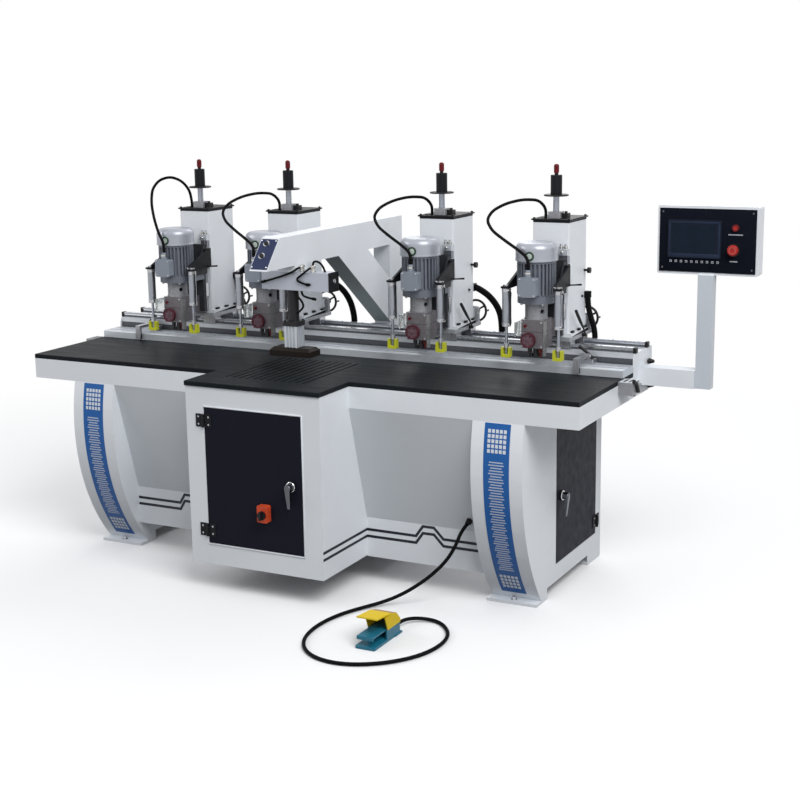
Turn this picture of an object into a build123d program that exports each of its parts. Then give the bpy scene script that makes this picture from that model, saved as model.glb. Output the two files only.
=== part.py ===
from build123d import *
import os
from math import atan2, cos, degrees, hypot, pi, radians, sin, tan

# Four-head hinge boring machine. X runs along the table, Y to the back, Z up.
# The origin lies on the floor, in the middle of the four anchor holes.

# Stance and table
table_height = 850.0
table_length = 2500.0
table_thick = 18.0
table_edge_r = 4.0
center_width = 610.0
center_reach = 230.0
anchor_inset_x = 103.0
anchor_setback = 150.0
anchor_rear_inset = 10.0
anchor_hole_r = 9.0
groove_count = 12
groove_pitch = 32.0
groove_width = 9.0
groove_depth = 7.0
groove_start = -100.0
groove_length = 445.0
groove_center_x = -18.0

# Fence and flip stops
fence_setback = 478.0
fence_depth = 122.0
fence_height = 30.0
fence_slot_width = 10.0
fence_slot_depth = 8.0
fence_slot_setbacks = (38.0, 84.0)
stop_end_insets = (205.0, 188.0)
stop_width = 80.0
stop_depth = 46.0
stop_height = 18.0
stop_setback = 94.0
flip_pin_r = 4.0
flip_hub_r = 9.0
flip_width = 24.0
flip_bar = 12.0
end_bracket = (58.0, 78.0, 50.0)
end_bracket_setback = 420.0

# Base
sheet = 3.0
apron_drop = 85.0
apron_depth = 800.0
base_step = 40.0
pedestal_inset = 212.0
pedestal_width = 208.0
leg_bulge = 22.0
leg_bulge_drop = 187.0
leg_foot_setback = 177.0
leg_bands = 7
foot_plate_thick = 12.0
foot_plate_reach = 50.0
front_foot_length = 58.0
rear_foot_length = 150.0
kick_height = 44.0
lower_rail_setback = 130.0
lower_rail_bottom = 108.0
lower_rail_top = 272.0
lower_rail_return = 40.0
cabinet_width = 606.0
cabinet_overhang = 5.0
cabinet_bottom = 112.0
gland_x = 762.0
gland_rise = 44.0
gland_r = 11.0
gland_length = 27.0

# Doors, hinges and locks
door_gap = 2.0
door_depth = 18.0
door_skin = 2.0
door_proud = 1.0
center_door_width = 440.0
center_door_sill = 86.0
center_door_head = 80.0
side_door_width = 452.0
side_door_inset = 62.0
side_door_sill = 71.0
side_door_head = 42.0
hinge_height = 52.0
hinge_leaf = 36.0
hinge_leaf_thick = 3.0
hinge_knuckle_r = 5.5
hinge_pin_r = 2.5
hinge_inset = 55.0
running_gap = 0.08
clear_gap = 0.3
lock_inset = 49.0
center_lock_rise = 275.0
side_lock_rise = 270.0
lock_spindle_r = 6.0
lock_lever = 84.0
lock_lever_top = 24.0
lock_lever_tip = 12.0
lock_lever_stand = 34.0
lock_head_r = 14.0
lock_rosette_r = 21.0
lock_rosette_thick = 8.0
lock_cam = 60.0
switch_x = 51.0
switch_rise = 153.0
switch_width = 48.0
switch_height = 68.0
switch_depth = 26.0
switch_drop = 3.0
switch_knob_r = 17.0

# Guide way
beam_gap = 12.0
beam_rise = 72.0
beam_plate = 20.0
beam_wall = 8.0
rail_width = 23.0
rail_height = 22.0
rail_insets = (20.0, 22.0)
rail_cap = 3.0
tray_depth = 65.0
tray_drop = 72.0
tray_height = 65.0

# Boring heads: where each stands along the rails, and their shared sizes
outer_head_insets = (443.0, 351.0)
inner_head_x = (-344.0, 395.0)
saddle_width = 184.0
saddle_front_reach = 42.0
saddle_rear_reach = 49.0
saddle_thick = 15.0
bearing_length = 60.0
bearing_width = 50.0
bearing_spread = 56.0
bearing_lift = 4.0
bearing_top = 13.0
column_width = 154.0
column_front_reach = 28.0
column_depth = 197.0
column_wall = 4.0
column_edge_r = 6.0
column_rise = 585.0
column_base_thick = 13.0
column_base_margin = 12.0
top_plate_thick = 6.0
top_plate_margin = 5.0
screw_x = 62.0
screw_rise = 164.0
screw_r = 7.0
screw_bracket_thick = 18.0
screw_bracket_width = 44.0
nut_thick = 15.0
margin_travel = 10.0
wheel_r = 45.0
wheel_rim_r = 5.0
wheel_hub_r = 14.0
wheel_standoff = 14.0

# Feed, motor and spindles
feed_travel = 58.0
spindle_margin = 23.0
rod_r = 12.5
rod_back = 56.0
cylinder_r = 32.0
cylinder_bore = 25.0
cylinder_length = 172.0
cylinder_cap = 14.0
rod_block = 52.0
rod_block_height = 26.0
stop_wheel_r = 49.0
stop_wheel_thick = 4.0
stop_sleeve_r = 23.0
stop_sleeve_length = 78.0
stop_gap = 62.0
red_knob_r = 10.5
red_knob_length = 43.0
slide_width = 132.0
slide_thick = 16.0
slide_gap = 28.0
slide_rise = 135.0
slide_height = 300.0
guide_width = 20.0
guide_depth = 16.0
guide_x = 50.0
guide_rise = 450.0
yoke_width = 52.0
yoke_height = 30.0
yoke_rise = 345.0
case_width = 94.0
case_front = 47.0
case_back = 50.0
case_rise = 105.0
case_height = 111.0
bell_r = 44.0
bell_bore = 30.0
bell_height = 65.0
motor_plate_thick = 24.0
motor_core_r = 64.0
motor_fin_r = 76.0
motor_fin_count = 30
motor_cowl_r = 82.0
motor_body_height = 140.0
motor_cowl_height = 72.0
motor_cowl_fillet = 27.0
term_width = 70.0
term_depth = 41.0
term_rise = 11.0
term_x = 6.0
term_gland_inset = 24.0
motor_gland_x = 2.0
motor_gland_height = 28.0
term_height = 72.0
cable_r = 6.0
cable_slot = (42.0, 40.0)
cap_r = 30.0
cap_thick = 14.0
cap_x = -13.0
cap_rise = 32.0
plug_x = -27.0
plug_rise = 87.0
plug_r = 6.0
cutter_r = 17.5
cutter_height = 15.0
bit_rise = 65.0
spindle_r = 8.0
side_spindle_r = 6.0
drill_r = 5.0
drill_pitch = 45.0
drill_offset = 9.5
gear_teeth = 12
gear_thick = 20.0
gear_rise = 45.0

# Clamps of a head
clamp_x = 109.0
clamp_margin = 65.0
clamp_barrel_r = 17.0
clamp_barrel_rise = 185.0
clamp_barrel_length = 151.0
clamp_rod_r = 6.0
clamp_plate_x = 93.0
clamp_plate_back = 48.0
clamp_strap_thick = 5.0
clamp_plate_thick = 9.0
clamp_plate_height = 80.0
foot_width = 40.0
foot_depth = 22.0
foot_height = 40.0
foot_rise = 62.0
conduit_r = 13.0
close_conduit_r = 11.0
conduit_rise = 277.0
elbow_rise = 258.0
elbow_height = 26.0
lock_knob_rise = 372.0

# Press arm
arm_width = 80.0
arm_wall = 5.0
arm_rise = 432.0
arm_height = 118.0
arm_front = -141.0
arm_slant = 99.0
arm_post_depth = 120.0
arm_flange_thick = 26.0
post_bottom = 260.0
brace_reach = (454.0, 199.0)
brace_drop = (343.0, 151.0)
press_y = 110.0
cross_span = (-123.0, 184.0)
cross_depth = 70.0
cross_drop = 100.0
cross_height = 73.0
press_tube_r = 22.0
press_body = 58.0
press_body_rise = 100.0
press_body_height = 86.0
press_flange_thick = 19.0
ram_r = 16.0
ram_hold = 80.0
pad_length = 185.0
pad_depth = 86.0
pad_rise = 65.0
pad_bevel = 12.0
button_r = 9.0
button_ring_r = 13.0
button_steps = (0.43, 0.80)
button_x = -6.0

# Control panel
support_inset = 135.0
support_depth = 70.0
support_drop = 60.0
support_height = 72.0
support_length = 226.0
post_width = 60.0
post_depth = 46.0
panel_offset = 59.0
panel_width = 392.0
panel_rise = 386.0
panel_height = 264.0
panel_inset = 25.0
panel_depth = 80.0
panel_wall = 2.5
face_margin = 20.0
face_thick = 3.0
screen_x = 43.0
screen_z = 64.0
screen_width = 209.0
screen_height = 147.0
bezel_thick = 6.0
bezel_margin = 20.0
lamp_x = 306.0
lamp_z = 184.0
lamp_r = 13.0
stop_button_x = 301.0
stop_button_z = 100.0
stop_button_r = 21.0
stop_stem_r = 9.0
stop_travel = 6.0

# Foot pedal and cord
pedal_x = 604.0
pedal_width = 80.0
pedal_front = -529.0
pedal_length = 199.0
pedal_base = 10.0
pedal_cheek = 6.0
pedal_body_top = 46.0
pedal_pivot_z = 34.0
pedal_pivot_back = 38.0
pedal_pin_r = 4.0
treadle_thick = 6.0
treadle_bottom = 42.0
hood_thick = 5.0
pedal_gland_x = 660.0
pedal_gland_z = 24.0
pedal_gland_length = 27.0
cord_r = 7.0
cord_rest_z = 7.75

# Places worked out from the sizes above: across the floor
half_table = table_length / 2
half_cabinet = cabinet_width / 2
pedestal_outer_x = half_table - pedestal_inset
pedestal_inner_x = pedestal_outer_x - pedestal_width
anchor_x = pedestal_outer_x - anchor_inset_x
base_depth = apron_depth + base_step
anchor_y = (base_depth - anchor_setback - anchor_rear_inset) / 2
front = -anchor_setback - anchor_y
base_rear = front + base_depth
cabinet_front = front - center_reach + cabinet_overhang
side_door_rear = base_rear - side_door_inset
side_door_front = side_door_rear - side_door_width
fence_face = front + fence_setback
beam_front = fence_face + fence_depth + beam_gap
beam_rear = front + apron_depth
rail_ys = (beam_front + rail_insets[0], beam_rear - rail_insets[1])
saddle_front = rail_ys[0] - saddle_front_reach
col_front = rail_ys[0] - column_front_reach
col_rear = col_front + column_depth
saddle_rear = col_rear + saddle_rear_reach
spindle_y = fence_face - spindle_margin
motor_gland_y = spindle_y - motor_fin_r - term_depth + term_gland_inset
slide_rear = col_front - slide_gap
slide_front = slide_rear - slide_thick
clamp_y = fence_face - clamp_margin
rod_y_at = col_front + rod_back
cable_drop_x = -rod_block / 2 - 11
cable_drop_y = col_front + 40
post_front = base_rear + arm_flange_thick
arm_rear = post_front + arm_post_depth
support_y = beam_rear - support_inset
panel_front = support_y + panel_inset
post_x = half_table + support_length
panel_x = half_table + panel_offset
stop_x = (stop_end_insets[0] - half_table, half_table - stop_end_insets[1])
head_x = (outer_head_insets[0] - half_table, *inner_head_x, half_table - outer_head_insets[1])

# Places worked out from the sizes above: heights over the floor
apron_top = table_height - table_thick
apron_bottom = apron_top - apron_drop
leg_bulge_z = apron_bottom - leg_bulge_drop
gland_z = lower_rail_top + gland_rise
center_door_bottom = cabinet_bottom + center_door_sill
center_door_top = apron_top - center_door_head
center_lock_z = center_door_bottom + center_lock_rise
switch_z = center_door_bottom + switch_rise
side_door_bottom = kick_height + side_door_sill
side_door_top = apron_bottom - side_door_head
side_lock_z = side_door_bottom + side_lock_rise
fence_top = table_height + fence_height
beam_top = table_height + beam_rise
tray_bottom = beam_top - tray_drop
tray_top = tray_bottom + tray_height
rail_top = beam_top + rail_height
saddle_bottom = rail_top + bearing_top
saddle_top = saddle_bottom + saddle_thick
column_bottom = saddle_top + clear_gap + column_base_thick
column_top = table_height + column_rise
screw_z = table_height + screw_rise
lock_knob_z = table_height + lock_knob_rise
conduit_z = table_height + conduit_rise
elbow_z = table_height + elbow_rise
slide_bottom = table_height + slide_rise
slide_top = slide_bottom + slide_height
guide_top = table_height + guide_rise
yoke_z = table_height + yoke_rise
case_bottom = table_height + case_rise
case_top = case_bottom + case_height
cap_z = case_bottom + cap_rise
plug_z = case_bottom + plug_rise
gear_z = case_bottom + gear_rise
bit_bottom = table_height + bit_rise
motor_plate_z = case_top + bell_height
motor_foot_z = motor_plate_z + motor_plate_thick
motor_cowl_z = motor_foot_z + motor_body_height
motor_top = motor_cowl_z + motor_cowl_height
term_bottom = motor_foot_z + term_rise
clamp_barrel_z = table_height + clamp_barrel_rise
foot_bottom = table_height + foot_rise
arm_bottom = table_height + arm_rise
arm_top = arm_bottom + arm_height
cross_bottom = arm_bottom - cross_drop
press_body_bottom = table_height + press_body_rise
press_body_top = press_body_bottom + press_body_height
pad_bottom = table_height + pad_rise
support_bottom = table_height - support_drop
panel_bottom = table_height + panel_rise
parts = {}


def block(x0, x1, y0, y1, z0, z1):
    return Pos((x0 + x1) / 2, (y0 + y1) / 2, (z0 + z1) / 2) * Box(x1 - x0, y1 - y0, z1 - z0)


def rod_z(x, y, z0, z1, r):
    return Pos(x, y, (z0 + z1) / 2) * Cylinder(r, z1 - z0)


def rod_y(x, z, y0, y1, r):
    return Pos(x, (y0 + y1) / 2, z) * Rot(90, 0, 0) * Cylinder(r, y1 - y0)


def rod_x(y, z, x0, x1, r):
    return Pos((x0 + x1) / 2, y, z) * Rot(0, 90, 0) * Cylinder(r, x1 - x0)


def prism_x(points, x0, x1):
    outline = make_face(Polyline(*[(x0, y, z) for y, z in points], close=True))
    return extrude(outline, amount=x1 - x0, dir=(1, 0, 0))


def prism_y(points, y0, y1):
    outline = make_face(Polyline(*[(x, y0, z) for x, z in points], close=True))
    return extrude(outline, amount=y1 - y0, dir=(0, 1, 0))


def prism_z(points, z0, z1):
    outline = make_face(Polyline(*[(x, y, z0) for x, y in points], close=True))
    return extrude(outline, amount=z1 - z0, dir=(0, 0, 1))


def hollow_prism(points, x0, x1, wall):
    outline = make_face(Polyline(*[(x0, y, z) for y, z in points], close=True))
    skin = extrude(outline, amount=x1 - x0, dir=(1, 0, 0))
    inner = Pos(wall, 0, 0) * offset(outline, -wall)
    return skin - extrude(inner, amount=x1 - x0 - 2 * wall, dir=(1, 0, 0))


def hollow_block(x0, x1, y0, y1, z0, z1, wall):
    core = block(x0 + wall, x1 - wall, y0 + wall, y1 - wall, z0 + wall, z1 - wall)
    return block(x0, x1, y0, y1, z0, z1) - core


def mirrored(solids):
    return [mirror(s, about=Plane.YZ) for s in solids]


def corner_radii(points):
    radii = []
    for a, b, c in zip(points, points[1:], points[2:]):
        go = Vector(*b) - Vector(*a)
        leave = Vector(*c) - Vector(*b)
        half_turn = radians(go.get_angle(leave)) / 2
        radii.append(0.45 * min(go.length, leave.length) / tan(half_turn))
    return radii


def tube(points, r, name):
    radii = corner_radii(points)
    path = FilletPolyline(*points, radius=radii)
    start = Plane(origin=path @ 0, z_dir=path % 0)
    solid = sweep(start * Circle(r), path=path)
    share = solid.volume / (pi * r * r * path.length)
    bends = [round(v) for v in radii]
    print(name, "length", round(path.length), "volume share", round(share, 4), "radii", bends)
    return solid


# Base: panels of folded sheet, standing on four foot plates
def leg_arc(shift):
    top = (0, front + shift, apron_bottom)
    fullest = (0, front - leg_bulge + shift, leg_bulge_z)
    foot = (0, front + leg_foot_setback + shift, foot_plate_thick)
    return ThreePointArc(top, fullest, foot)


def pedestal_side():
    arc = leg_arc(0)
    toe = front + leg_foot_setback + front_foot_length
    heel = base_rear - rear_foot_length
    rest = Polyline(
        arc @ 1,
        (0, toe, foot_plate_thick),
        (0, toe, kick_height),
        (0, heel, kick_height),
        (0, heel, foot_plate_thick),
        (0, base_rear, foot_plate_thick),
        (0, base_rear, apron_bottom),
        arc @ 0,
    )
    return make_face(Wire(arc.edges() + rest.edges()))


def leg_skin(x0, x1):
    # cut into bands, so that each piece is nearly straight
    outer = leg_arc(0)
    inner = leg_arc(sheet + 1)
    ends = [Line(outer @ 1, inner @ 1), Line(inner @ 0, outer @ 0)]
    face = make_face(Wire(outer.edges() + ends[0].edges() + inner.edges() + ends[1].edges()))
    skin = Pos(x0, 0, 0) * extrude(face, amount=x1 - x0, dir=(1, 0, 0))
    step = (apron_bottom - foot_plate_thick) / leg_bands
    levels = [foot_plate_thick + i * step for i in range(leg_bands + 1)]
    return [skin & block(x0, x1, front - 100, base_rear, a, b) for a, b in zip(levels, levels[1:])]


def foot_plates(x0, x1):
    plates = []
    toe = front + leg_foot_setback
    heel = base_rear - rear_foot_length
    spans = ((toe - foot_plate_reach, toe + front_foot_length), (heel, base_rear))
    for (y0, y1), hole_y in zip(spans, (-anchor_y, anchor_y)):
        hole = rod_z(anchor_x, hole_y, -1, foot_plate_thick + 1, anchor_hole_r)
        plates.append(block(x0, x1, y0, y1, 0, foot_plate_thick) - hole)
    return plates


def pedestal(door_opening):
    x0, x1 = pedestal_inner_x, pedestal_outer_x
    side = pedestal_side()
    inner = Pos(x0, 0, 0) * extrude(side, amount=sheet, dir=(1, 0, 0))
    outer = Pos(x1 - sheet, 0, 0) * extrude(side, amount=sheet, dir=(1, 0, 0))
    toe = front + leg_foot_setback + front_foot_length
    floor = block(x0 + sheet, x1 - sheet, toe, base_rear - sheet, kick_height, kick_height + sheet)
    back = block(x0 + sheet, x1 - sheet, base_rear - sheet, base_rear, kick_height, apron_bottom)
    lid = block(x0 + sheet, x1 - sheet, beam_rear, base_rear - sheet, apron_bottom - sheet, apron_bottom)
    y0, y1 = front - 200, base_rear + 1
    plates = [inner & block(x0, x1, y0, y1, 0, kick_height)]
    plates.append(inner & block(x0, x1, y0, y1, kick_height, apron_top))
    plates.append(outer & block(x0, x1, y0, y1, 0, kick_height))
    if door_opening:
        # the side plate is split into strips around its door
        a, b = side_door_front, side_door_rear
        around = ((a, b, side_door_top, apron_top), (a, b, kick_height, side_door_bottom))
        around += ((y0, a, kick_height, apron_top), (b, y1, kick_height, apron_top))
        plates += [outer & block(x0, x1, *span) for span in around]
    else:
        plates.append(outer & block(x0, x1, y0, y1, kick_height, apron_top))
    return leg_skin(x0 + sheet, x1 - sheet) + [floor, back, lid] + plates + foot_plates(x0, x1)


def cabinet_panels():
    y0, x1 = cabinet_front, half_cabinet
    half_door = center_door_width / 2
    sides = []
    for x in (-x1, x1 - sheet):
        sides.append(block(x, x + sheet, y0 + sheet, beam_front, cabinet_bottom, apron_top))
        sides.append(block(x, x + sheet, beam_front, base_rear - sheet, cabinet_bottom, apron_bottom))
    frame = [
        block(-x1, -half_door, y0, y0 + sheet, cabinet_bottom, apron_top),
        block(half_door, x1, y0, y0 + sheet, cabinet_bottom, apron_top),
        block(-half_door, half_door, y0, y0 + sheet, center_door_top, apron_top),
        block(-half_door, half_door, y0, y0 + sheet, cabinet_bottom, center_door_bottom),
    ]
    inside = x1 - sheet
    floor = block(-inside, inside, y0 + sheet, base_rear - sheet, cabinet_bottom, cabinet_bottom + sheet)
    back = block(-x1, x1, base_rear - sheet, base_rear, cabinet_bottom, apron_bottom)
    lid = block(-inside, inside, beam_front, base_rear - sheet, apron_bottom - sheet, apron_bottom)
    lock_span = (center_lock_z - 16, center_lock_z + 16)
    keeper = block(half_door, half_door + 20, y0 + sheet, y0 + door_depth, *lock_span)
    return sides + frame + [floor, back, lid, keeper]


def knee_panel():
    x0, x1 = half_cabinet, pedestal_inner_x
    thick = sheet + 1
    y_low = front + lower_rail_setback
    slope = [(front, apron_bottom), (front + thick, apron_bottom)]
    slope += [(y_low + thick, lower_rail_top), (y_low, lower_rail_top)]
    panel = prism_x(slope, x0, x1)
    rail = block(x0, x1, y_low, y_low + thick, lower_rail_bottom, lower_rail_top)
    y_back = y_low + thick + lower_rail_return
    lip = block(x0, x1, y_low + thick, y_back, lower_rail_bottom, lower_rail_bottom + thick)
    return [panel, rail, lip]


def knee_y(z):
    return front + lower_rail_setback * (apron_bottom - z) / (apron_bottom - lower_rail_top)


def cord_gland():
    lean = degrees(atan2(lower_rail_setback, apron_bottom - lower_rail_top))
    seat = Pos(gland_x, knee_y(gland_z), gland_z) * Rot(90 + lean, 0, 0)
    nut = Pos(0, 0, 5) * extrude(RegularPolygon(gland_r + 3, 6), amount=5, both=True)
    body = Pos(0, 0, gland_length / 2) * Cone(gland_r, cord_r + 2, gland_length)
    return seat * (nut + body)


def apron():
    x0, x1 = half_cabinet, half_table
    face = block(x0, x1, front, front + sheet, apron_bottom, apron_top)
    end = block(x1 - sheet, x1, front + sheet, beam_rear, apron_bottom, apron_top)
    floor = block(x0, x1 - sheet, front + sheet, beam_rear, apron_bottom, apron_bottom + sheet)
    back_top = apron_bottom + sheet
    back = block(x0, x1 - sheet, beam_rear - beam_wall, beam_rear, back_top, apron_top)
    return [face, end, floor, back]


def hinge(u_sign):
    # built with the pin on Z at the origin, the door on the u side and its face towards -Y
    face = hinge_knuckle_r + door_proud
    third = hinge_height / 3
    leaf_end = u_sign * hinge_leaf
    spans = sorted((0.0, leaf_end))
    door_leaf = block(*spans, face - hinge_leaf_thick, face, -hinge_height / 2, hinge_height / 2)
    middle = rod_z(0, 0, -third / 2 + clear_gap, third / 2 - clear_gap, hinge_knuckle_r)
    room = hinge_knuckle_r + clear_gap
    door_ends = [rod_z(0, 0, s * third - third / 2, s * third + third / 2, room) for s in (-1, 1)]
    strip = sorted((-u_sign * room, u_sign * room))
    strips = [block(*strip, 0, face + 1, s * third - third / 2, s * third + third / 2) for s in (-1, 1)]
    door_side = door_leaf + middle - rod_z(0, 0, -hinge_height, hinge_height, hinge_pin_r + running_gap)
    for cut in door_ends + strips:
        door_side = door_side - cut
    back = face + door_proud
    spans = sorted((0.0, -leaf_end))
    frame_side = block(*spans, back - hinge_leaf_thick, back, -hinge_height / 2, hinge_height / 2)
    strip = sorted((u_sign * room, -u_sign * room))
    frame_side = frame_side - block(*strip, -room, back + 1, -third / 2, third / 2)
    for s in (-1, 1):
        frame_side = frame_side + rod_z(0, 0, s * third - third / 2, s * third + third / 2, hinge_knuckle_r)
    frame_side = frame_side + rod_z(0, 0, -hinge_height / 2, hinge_height / 2, hinge_pin_r)
    return door_side, frame_side


center_hinge = (-center_door_width / 2 - door_gap / 2, cabinet_front - door_proud * 2 - hinge_knuckle_r)
side_hinge = (pedestal_outer_x + door_proud * 2 + hinge_knuckle_r, side_door_rear + door_gap / 2)


def center_hinge_places():
    return [Pos(*center_hinge, z) for z in (center_door_bottom + hinge_inset, center_door_top - hinge_inset)]


def side_hinge_places():
    turn = Rot(0, 0, 90)
    return [Pos(*side_hinge, z) * turn for z in (side_door_bottom + hinge_inset, side_door_top - hinge_inset)]


def base_frame():
    solids = pedestal(True) + mirrored(pedestal(False))
    solids += cabinet_panels()
    solids += knee_panel() + mirrored(knee_panel())
    solids += apron() + mirrored(apron())
    solids += [place * hinge(1)[1] for place in center_hinge_places()]
    solids += [place * hinge(-1)[1] for place in side_hinge_places()]
    solids.append(cord_gland())
    y_keep = side_door_front
    x_keep = pedestal_outer_x - sheet
    keeper_x = pedestal_outer_x - door_depth
    solids.append(block(keeper_x, x_keep, y_keep - 20, y_keep, side_lock_z - 16, side_lock_z + 16))
    return solids


# Doors, lever locks and main switch
def lever(pull):
    # spindle on Y at the origin, door face at y = 0, lever hanging down, cam standing up
    seat = -lock_rosette_thick - clear_gap
    out = -lock_lever_stand
    spindle = rod_y(0, 0, seat - 2, door_depth + 6, lock_spindle_r)
    head = rod_y(0, 0, out, seat, lock_head_r)
    head = fillet(head.edges().group_by(Axis.Y)[0], 5)
    wide, tip = lock_lever_top / 2, lock_lever_tip / 2
    face = prism_y([(-wide, 0), (-tip, -pull), (tip, -pull), (wide, 0)], out, seat)
    side = prism_x([(out, 0), (out + 10, -pull), (out + 19, -pull), (out + 15, 0)], -wide, wide)
    grip = face & side
    cam = block(-8, 8, door_depth + 2, door_depth + 6, -8, lock_cam)
    return spindle + head + grip + cam


def rosette():
    plate = rod_y(0, 0, -lock_rosette_thick, 0, lock_rosette_r)
    return plate - rod_y(0, 0, -lock_rosette_thick - 1, 1, lock_spindle_r + running_gap)


def center_door():
    half = center_door_width / 2 - door_gap
    z0, z1 = center_door_bottom + door_gap, center_door_top - door_gap
    y0 = cabinet_front - door_proud
    y1 = y0 + door_depth
    pan = block(-half, half, y0, y1, z0, z1)
    inner = half - door_skin
    pan = pan - block(-inner, inner, y0 + door_skin, y1 + 1, z0 + door_skin, z1 - door_skin)
    lock_x = center_door_width / 2 - lock_inset
    pan = pan - rod_y(lock_x, center_lock_z, y0 - 1, y1, lock_spindle_r + clear_gap)
    pan = pan - rod_y(switch_x, switch_z, y0 - 1, y1, lock_spindle_r + clear_gap)
    s, h = switch_width / 2, switch_height / 2
    z_mid = switch_z + switch_drop
    plate = block(switch_x - s, switch_x + s, y0 - switch_depth, y0, z_mid - h, z_mid + h)
    plate = fillet(plate.edges().filter_by(Axis.Y), 7)
    plate = plate - rod_y(switch_x, switch_z, y0 - switch_depth - 1, y0 + 1, lock_spindle_r + running_gap)
    leaves = [place * hinge(1)[0] for place in center_hinge_places()]
    return [pan, plate, Pos(lock_x, y0, center_lock_z) * rosette()] + leaves


def center_door_handle():
    place = Pos(center_door_width / 2 - lock_inset, cabinet_front - door_proud, center_lock_z)
    return [place * lever(lock_lever)]


def main_switch_knob():
    y0 = cabinet_front - door_proud
    foot = -switch_depth - clear_gap
    dial = rod_y(0, 0, foot - 10, foot, switch_knob_r)
    bar = block(-5, 5, foot - 22, foot - 9, -switch_knob_r, switch_knob_r)
    bar = fillet(bar.edges().filter_by(Axis.Y), 3)
    stem = rod_y(0, 0, foot - 4, 8, lock_spindle_r)
    return [Pos(switch_x, y0, switch_z) * (dial + bar + stem)]


def side_door():
    y0, y1 = side_door_front + door_gap, side_door_rear - door_gap
    z0, z1 = side_door_bottom + door_gap, side_door_top - door_gap
    x1 = pedestal_outer_x + door_proud
    x0 = x1 - door_depth
    pan = block(x0, x1, y0, y1, z0, z1)
    pan = pan - block(x0 - 1, x1 - door_skin, y0 + door_skin, y1 - door_skin, z0 + door_skin, z1 - door_skin)
    lock_y = side_door_front + lock_inset
    pan = pan - rod_x(lock_y, side_lock_z, x0, x1 + 1, lock_spindle_r + clear_gap)
    leaves = [place * hinge(-1)[0] for place in side_hinge_places()]
    return [pan, Pos(x1, lock_y, side_lock_z) * Rot(0, 0, 90) * rosette()] + leaves


def side_door_handle():
    lock_y = side_door_front + lock_inset
    place = Pos(pedestal_outer_x + door_proud, lock_y, side_lock_z) * Rot(0, 0, 90)
    return [place * lever(lock_lever)]


# Table and fence
def table_top():
    rear = fence_face + fence_depth
    half = center_width / 2
    wing = block(half, half_table, front, rear, apron_top, table_height)
    wing_edge = wing.edges().filter_by(Axis.X).sort_by(Axis.Y)[:2].sort_by(Axis.Z)[-1]
    wing = fillet(wing_edge, table_edge_r)
    center = block(-half, half, front - center_reach, rear, apron_top, table_height)
    rim = center.edges().filter_by(Axis.X).sort_by(Axis.Y)[:2].sort_by(Axis.Z)[-1]
    center = fillet(rim, table_edge_r)
    for i in range(groove_count):
        x = groove_center_x + (i - (groove_count - 1) / 2) * groove_pitch
        y = front + groove_start
        z = table_height - groove_depth
        groove = block(x - groove_width / 2, x + groove_width / 2, y, y + groove_length, z, table_height + 1)
        center = center - groove
    return [center, wing] + mirrored([wing])


def stop_place(x):
    return Pos(x, fence_face + stop_setback, fence_top + stop_height + flip_hub_r + 2)


def stop_carrier():
    # pivot pin on X at the origin
    drop = flip_hub_r + 2
    w = stop_width / 2
    foot = block(-w, w, -stop_depth / 2, stop_depth / 2, -drop - stop_height, -drop)
    foot = fillet(foot.edges().filter_by(Axis.Z), 3)
    ear = flip_width / 2 + clear_gap
    for s in (-1, 1):
        span = sorted((s * ear, s * (ear + 8)))
        foot = foot + block(*span, -flip_hub_r, flip_hub_r, -drop - 1, flip_pin_r + 4)
    return foot + rod_x(0, 0, -ear - 10, ear + 10, flip_pin_r)


def flip_stop(x):
    # lowered, with its finger in front of the fence
    reach = stop_setback + 15
    w = flip_width / 2
    hub = rod_x(0, 0, -w, w, flip_hub_r)
    bar = block(-w, w, -reach, 0, -flip_bar / 2, flip_bar / 2)
    tip_z = table_height + 6 - (fence_top + stop_height + flip_hub_r + 2)
    finger = block(-w, w, -reach, -reach + 12, tip_z, flip_bar / 2)
    arm = hub + bar + finger - rod_x(0, 0, -w - 1, w + 1, flip_pin_r + running_gap)
    return [stop_place(x) * arm]


def fence():
    half = half_table
    profile = block(-half, half, fence_face, fence_face + fence_depth, table_height, fence_top)
    profile = chamfer(profile.edges().filter_by(Axis.X).group_by(Axis.Z)[-1], 3)
    for setback in fence_slot_setbacks:
        y = fence_face + setback
        slot = (y - fence_slot_width / 2, y + fence_slot_width / 2)
        profile = profile - block(-half, half, *slot, fence_top - fence_slot_depth, fence_top + 1)
    solids = [profile]
    wide, deep, high = end_bracket
    y0 = front + end_bracket_setback
    shoe = block(half_table, half_table + wide, y0, y0 + deep, apron_top - high + 14, apron_top + 14)
    for i in (1, 2):
        x = half_table + i * wide / 3
        shoe = shoe - block(x - 5, x + 5, y0 + 10, y0 + deep - 10, apron_top + 6, apron_top + 15)
    lug = rod_z(half_table + wide / 2, y0 + deep + 16, apron_top - 56, apron_top - 12, 11)
    arm = block(half_table, half_table + wide, y0 + deep, y0 + deep + 30, apron_top - 12, apron_top - 4)
    for group in ([shoe, arm, lug], mirrored([shoe, arm, lug])):
        solids += group
    solids += [stop_place(x) * stop_carrier() for x in stop_x]
    return solids


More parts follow.
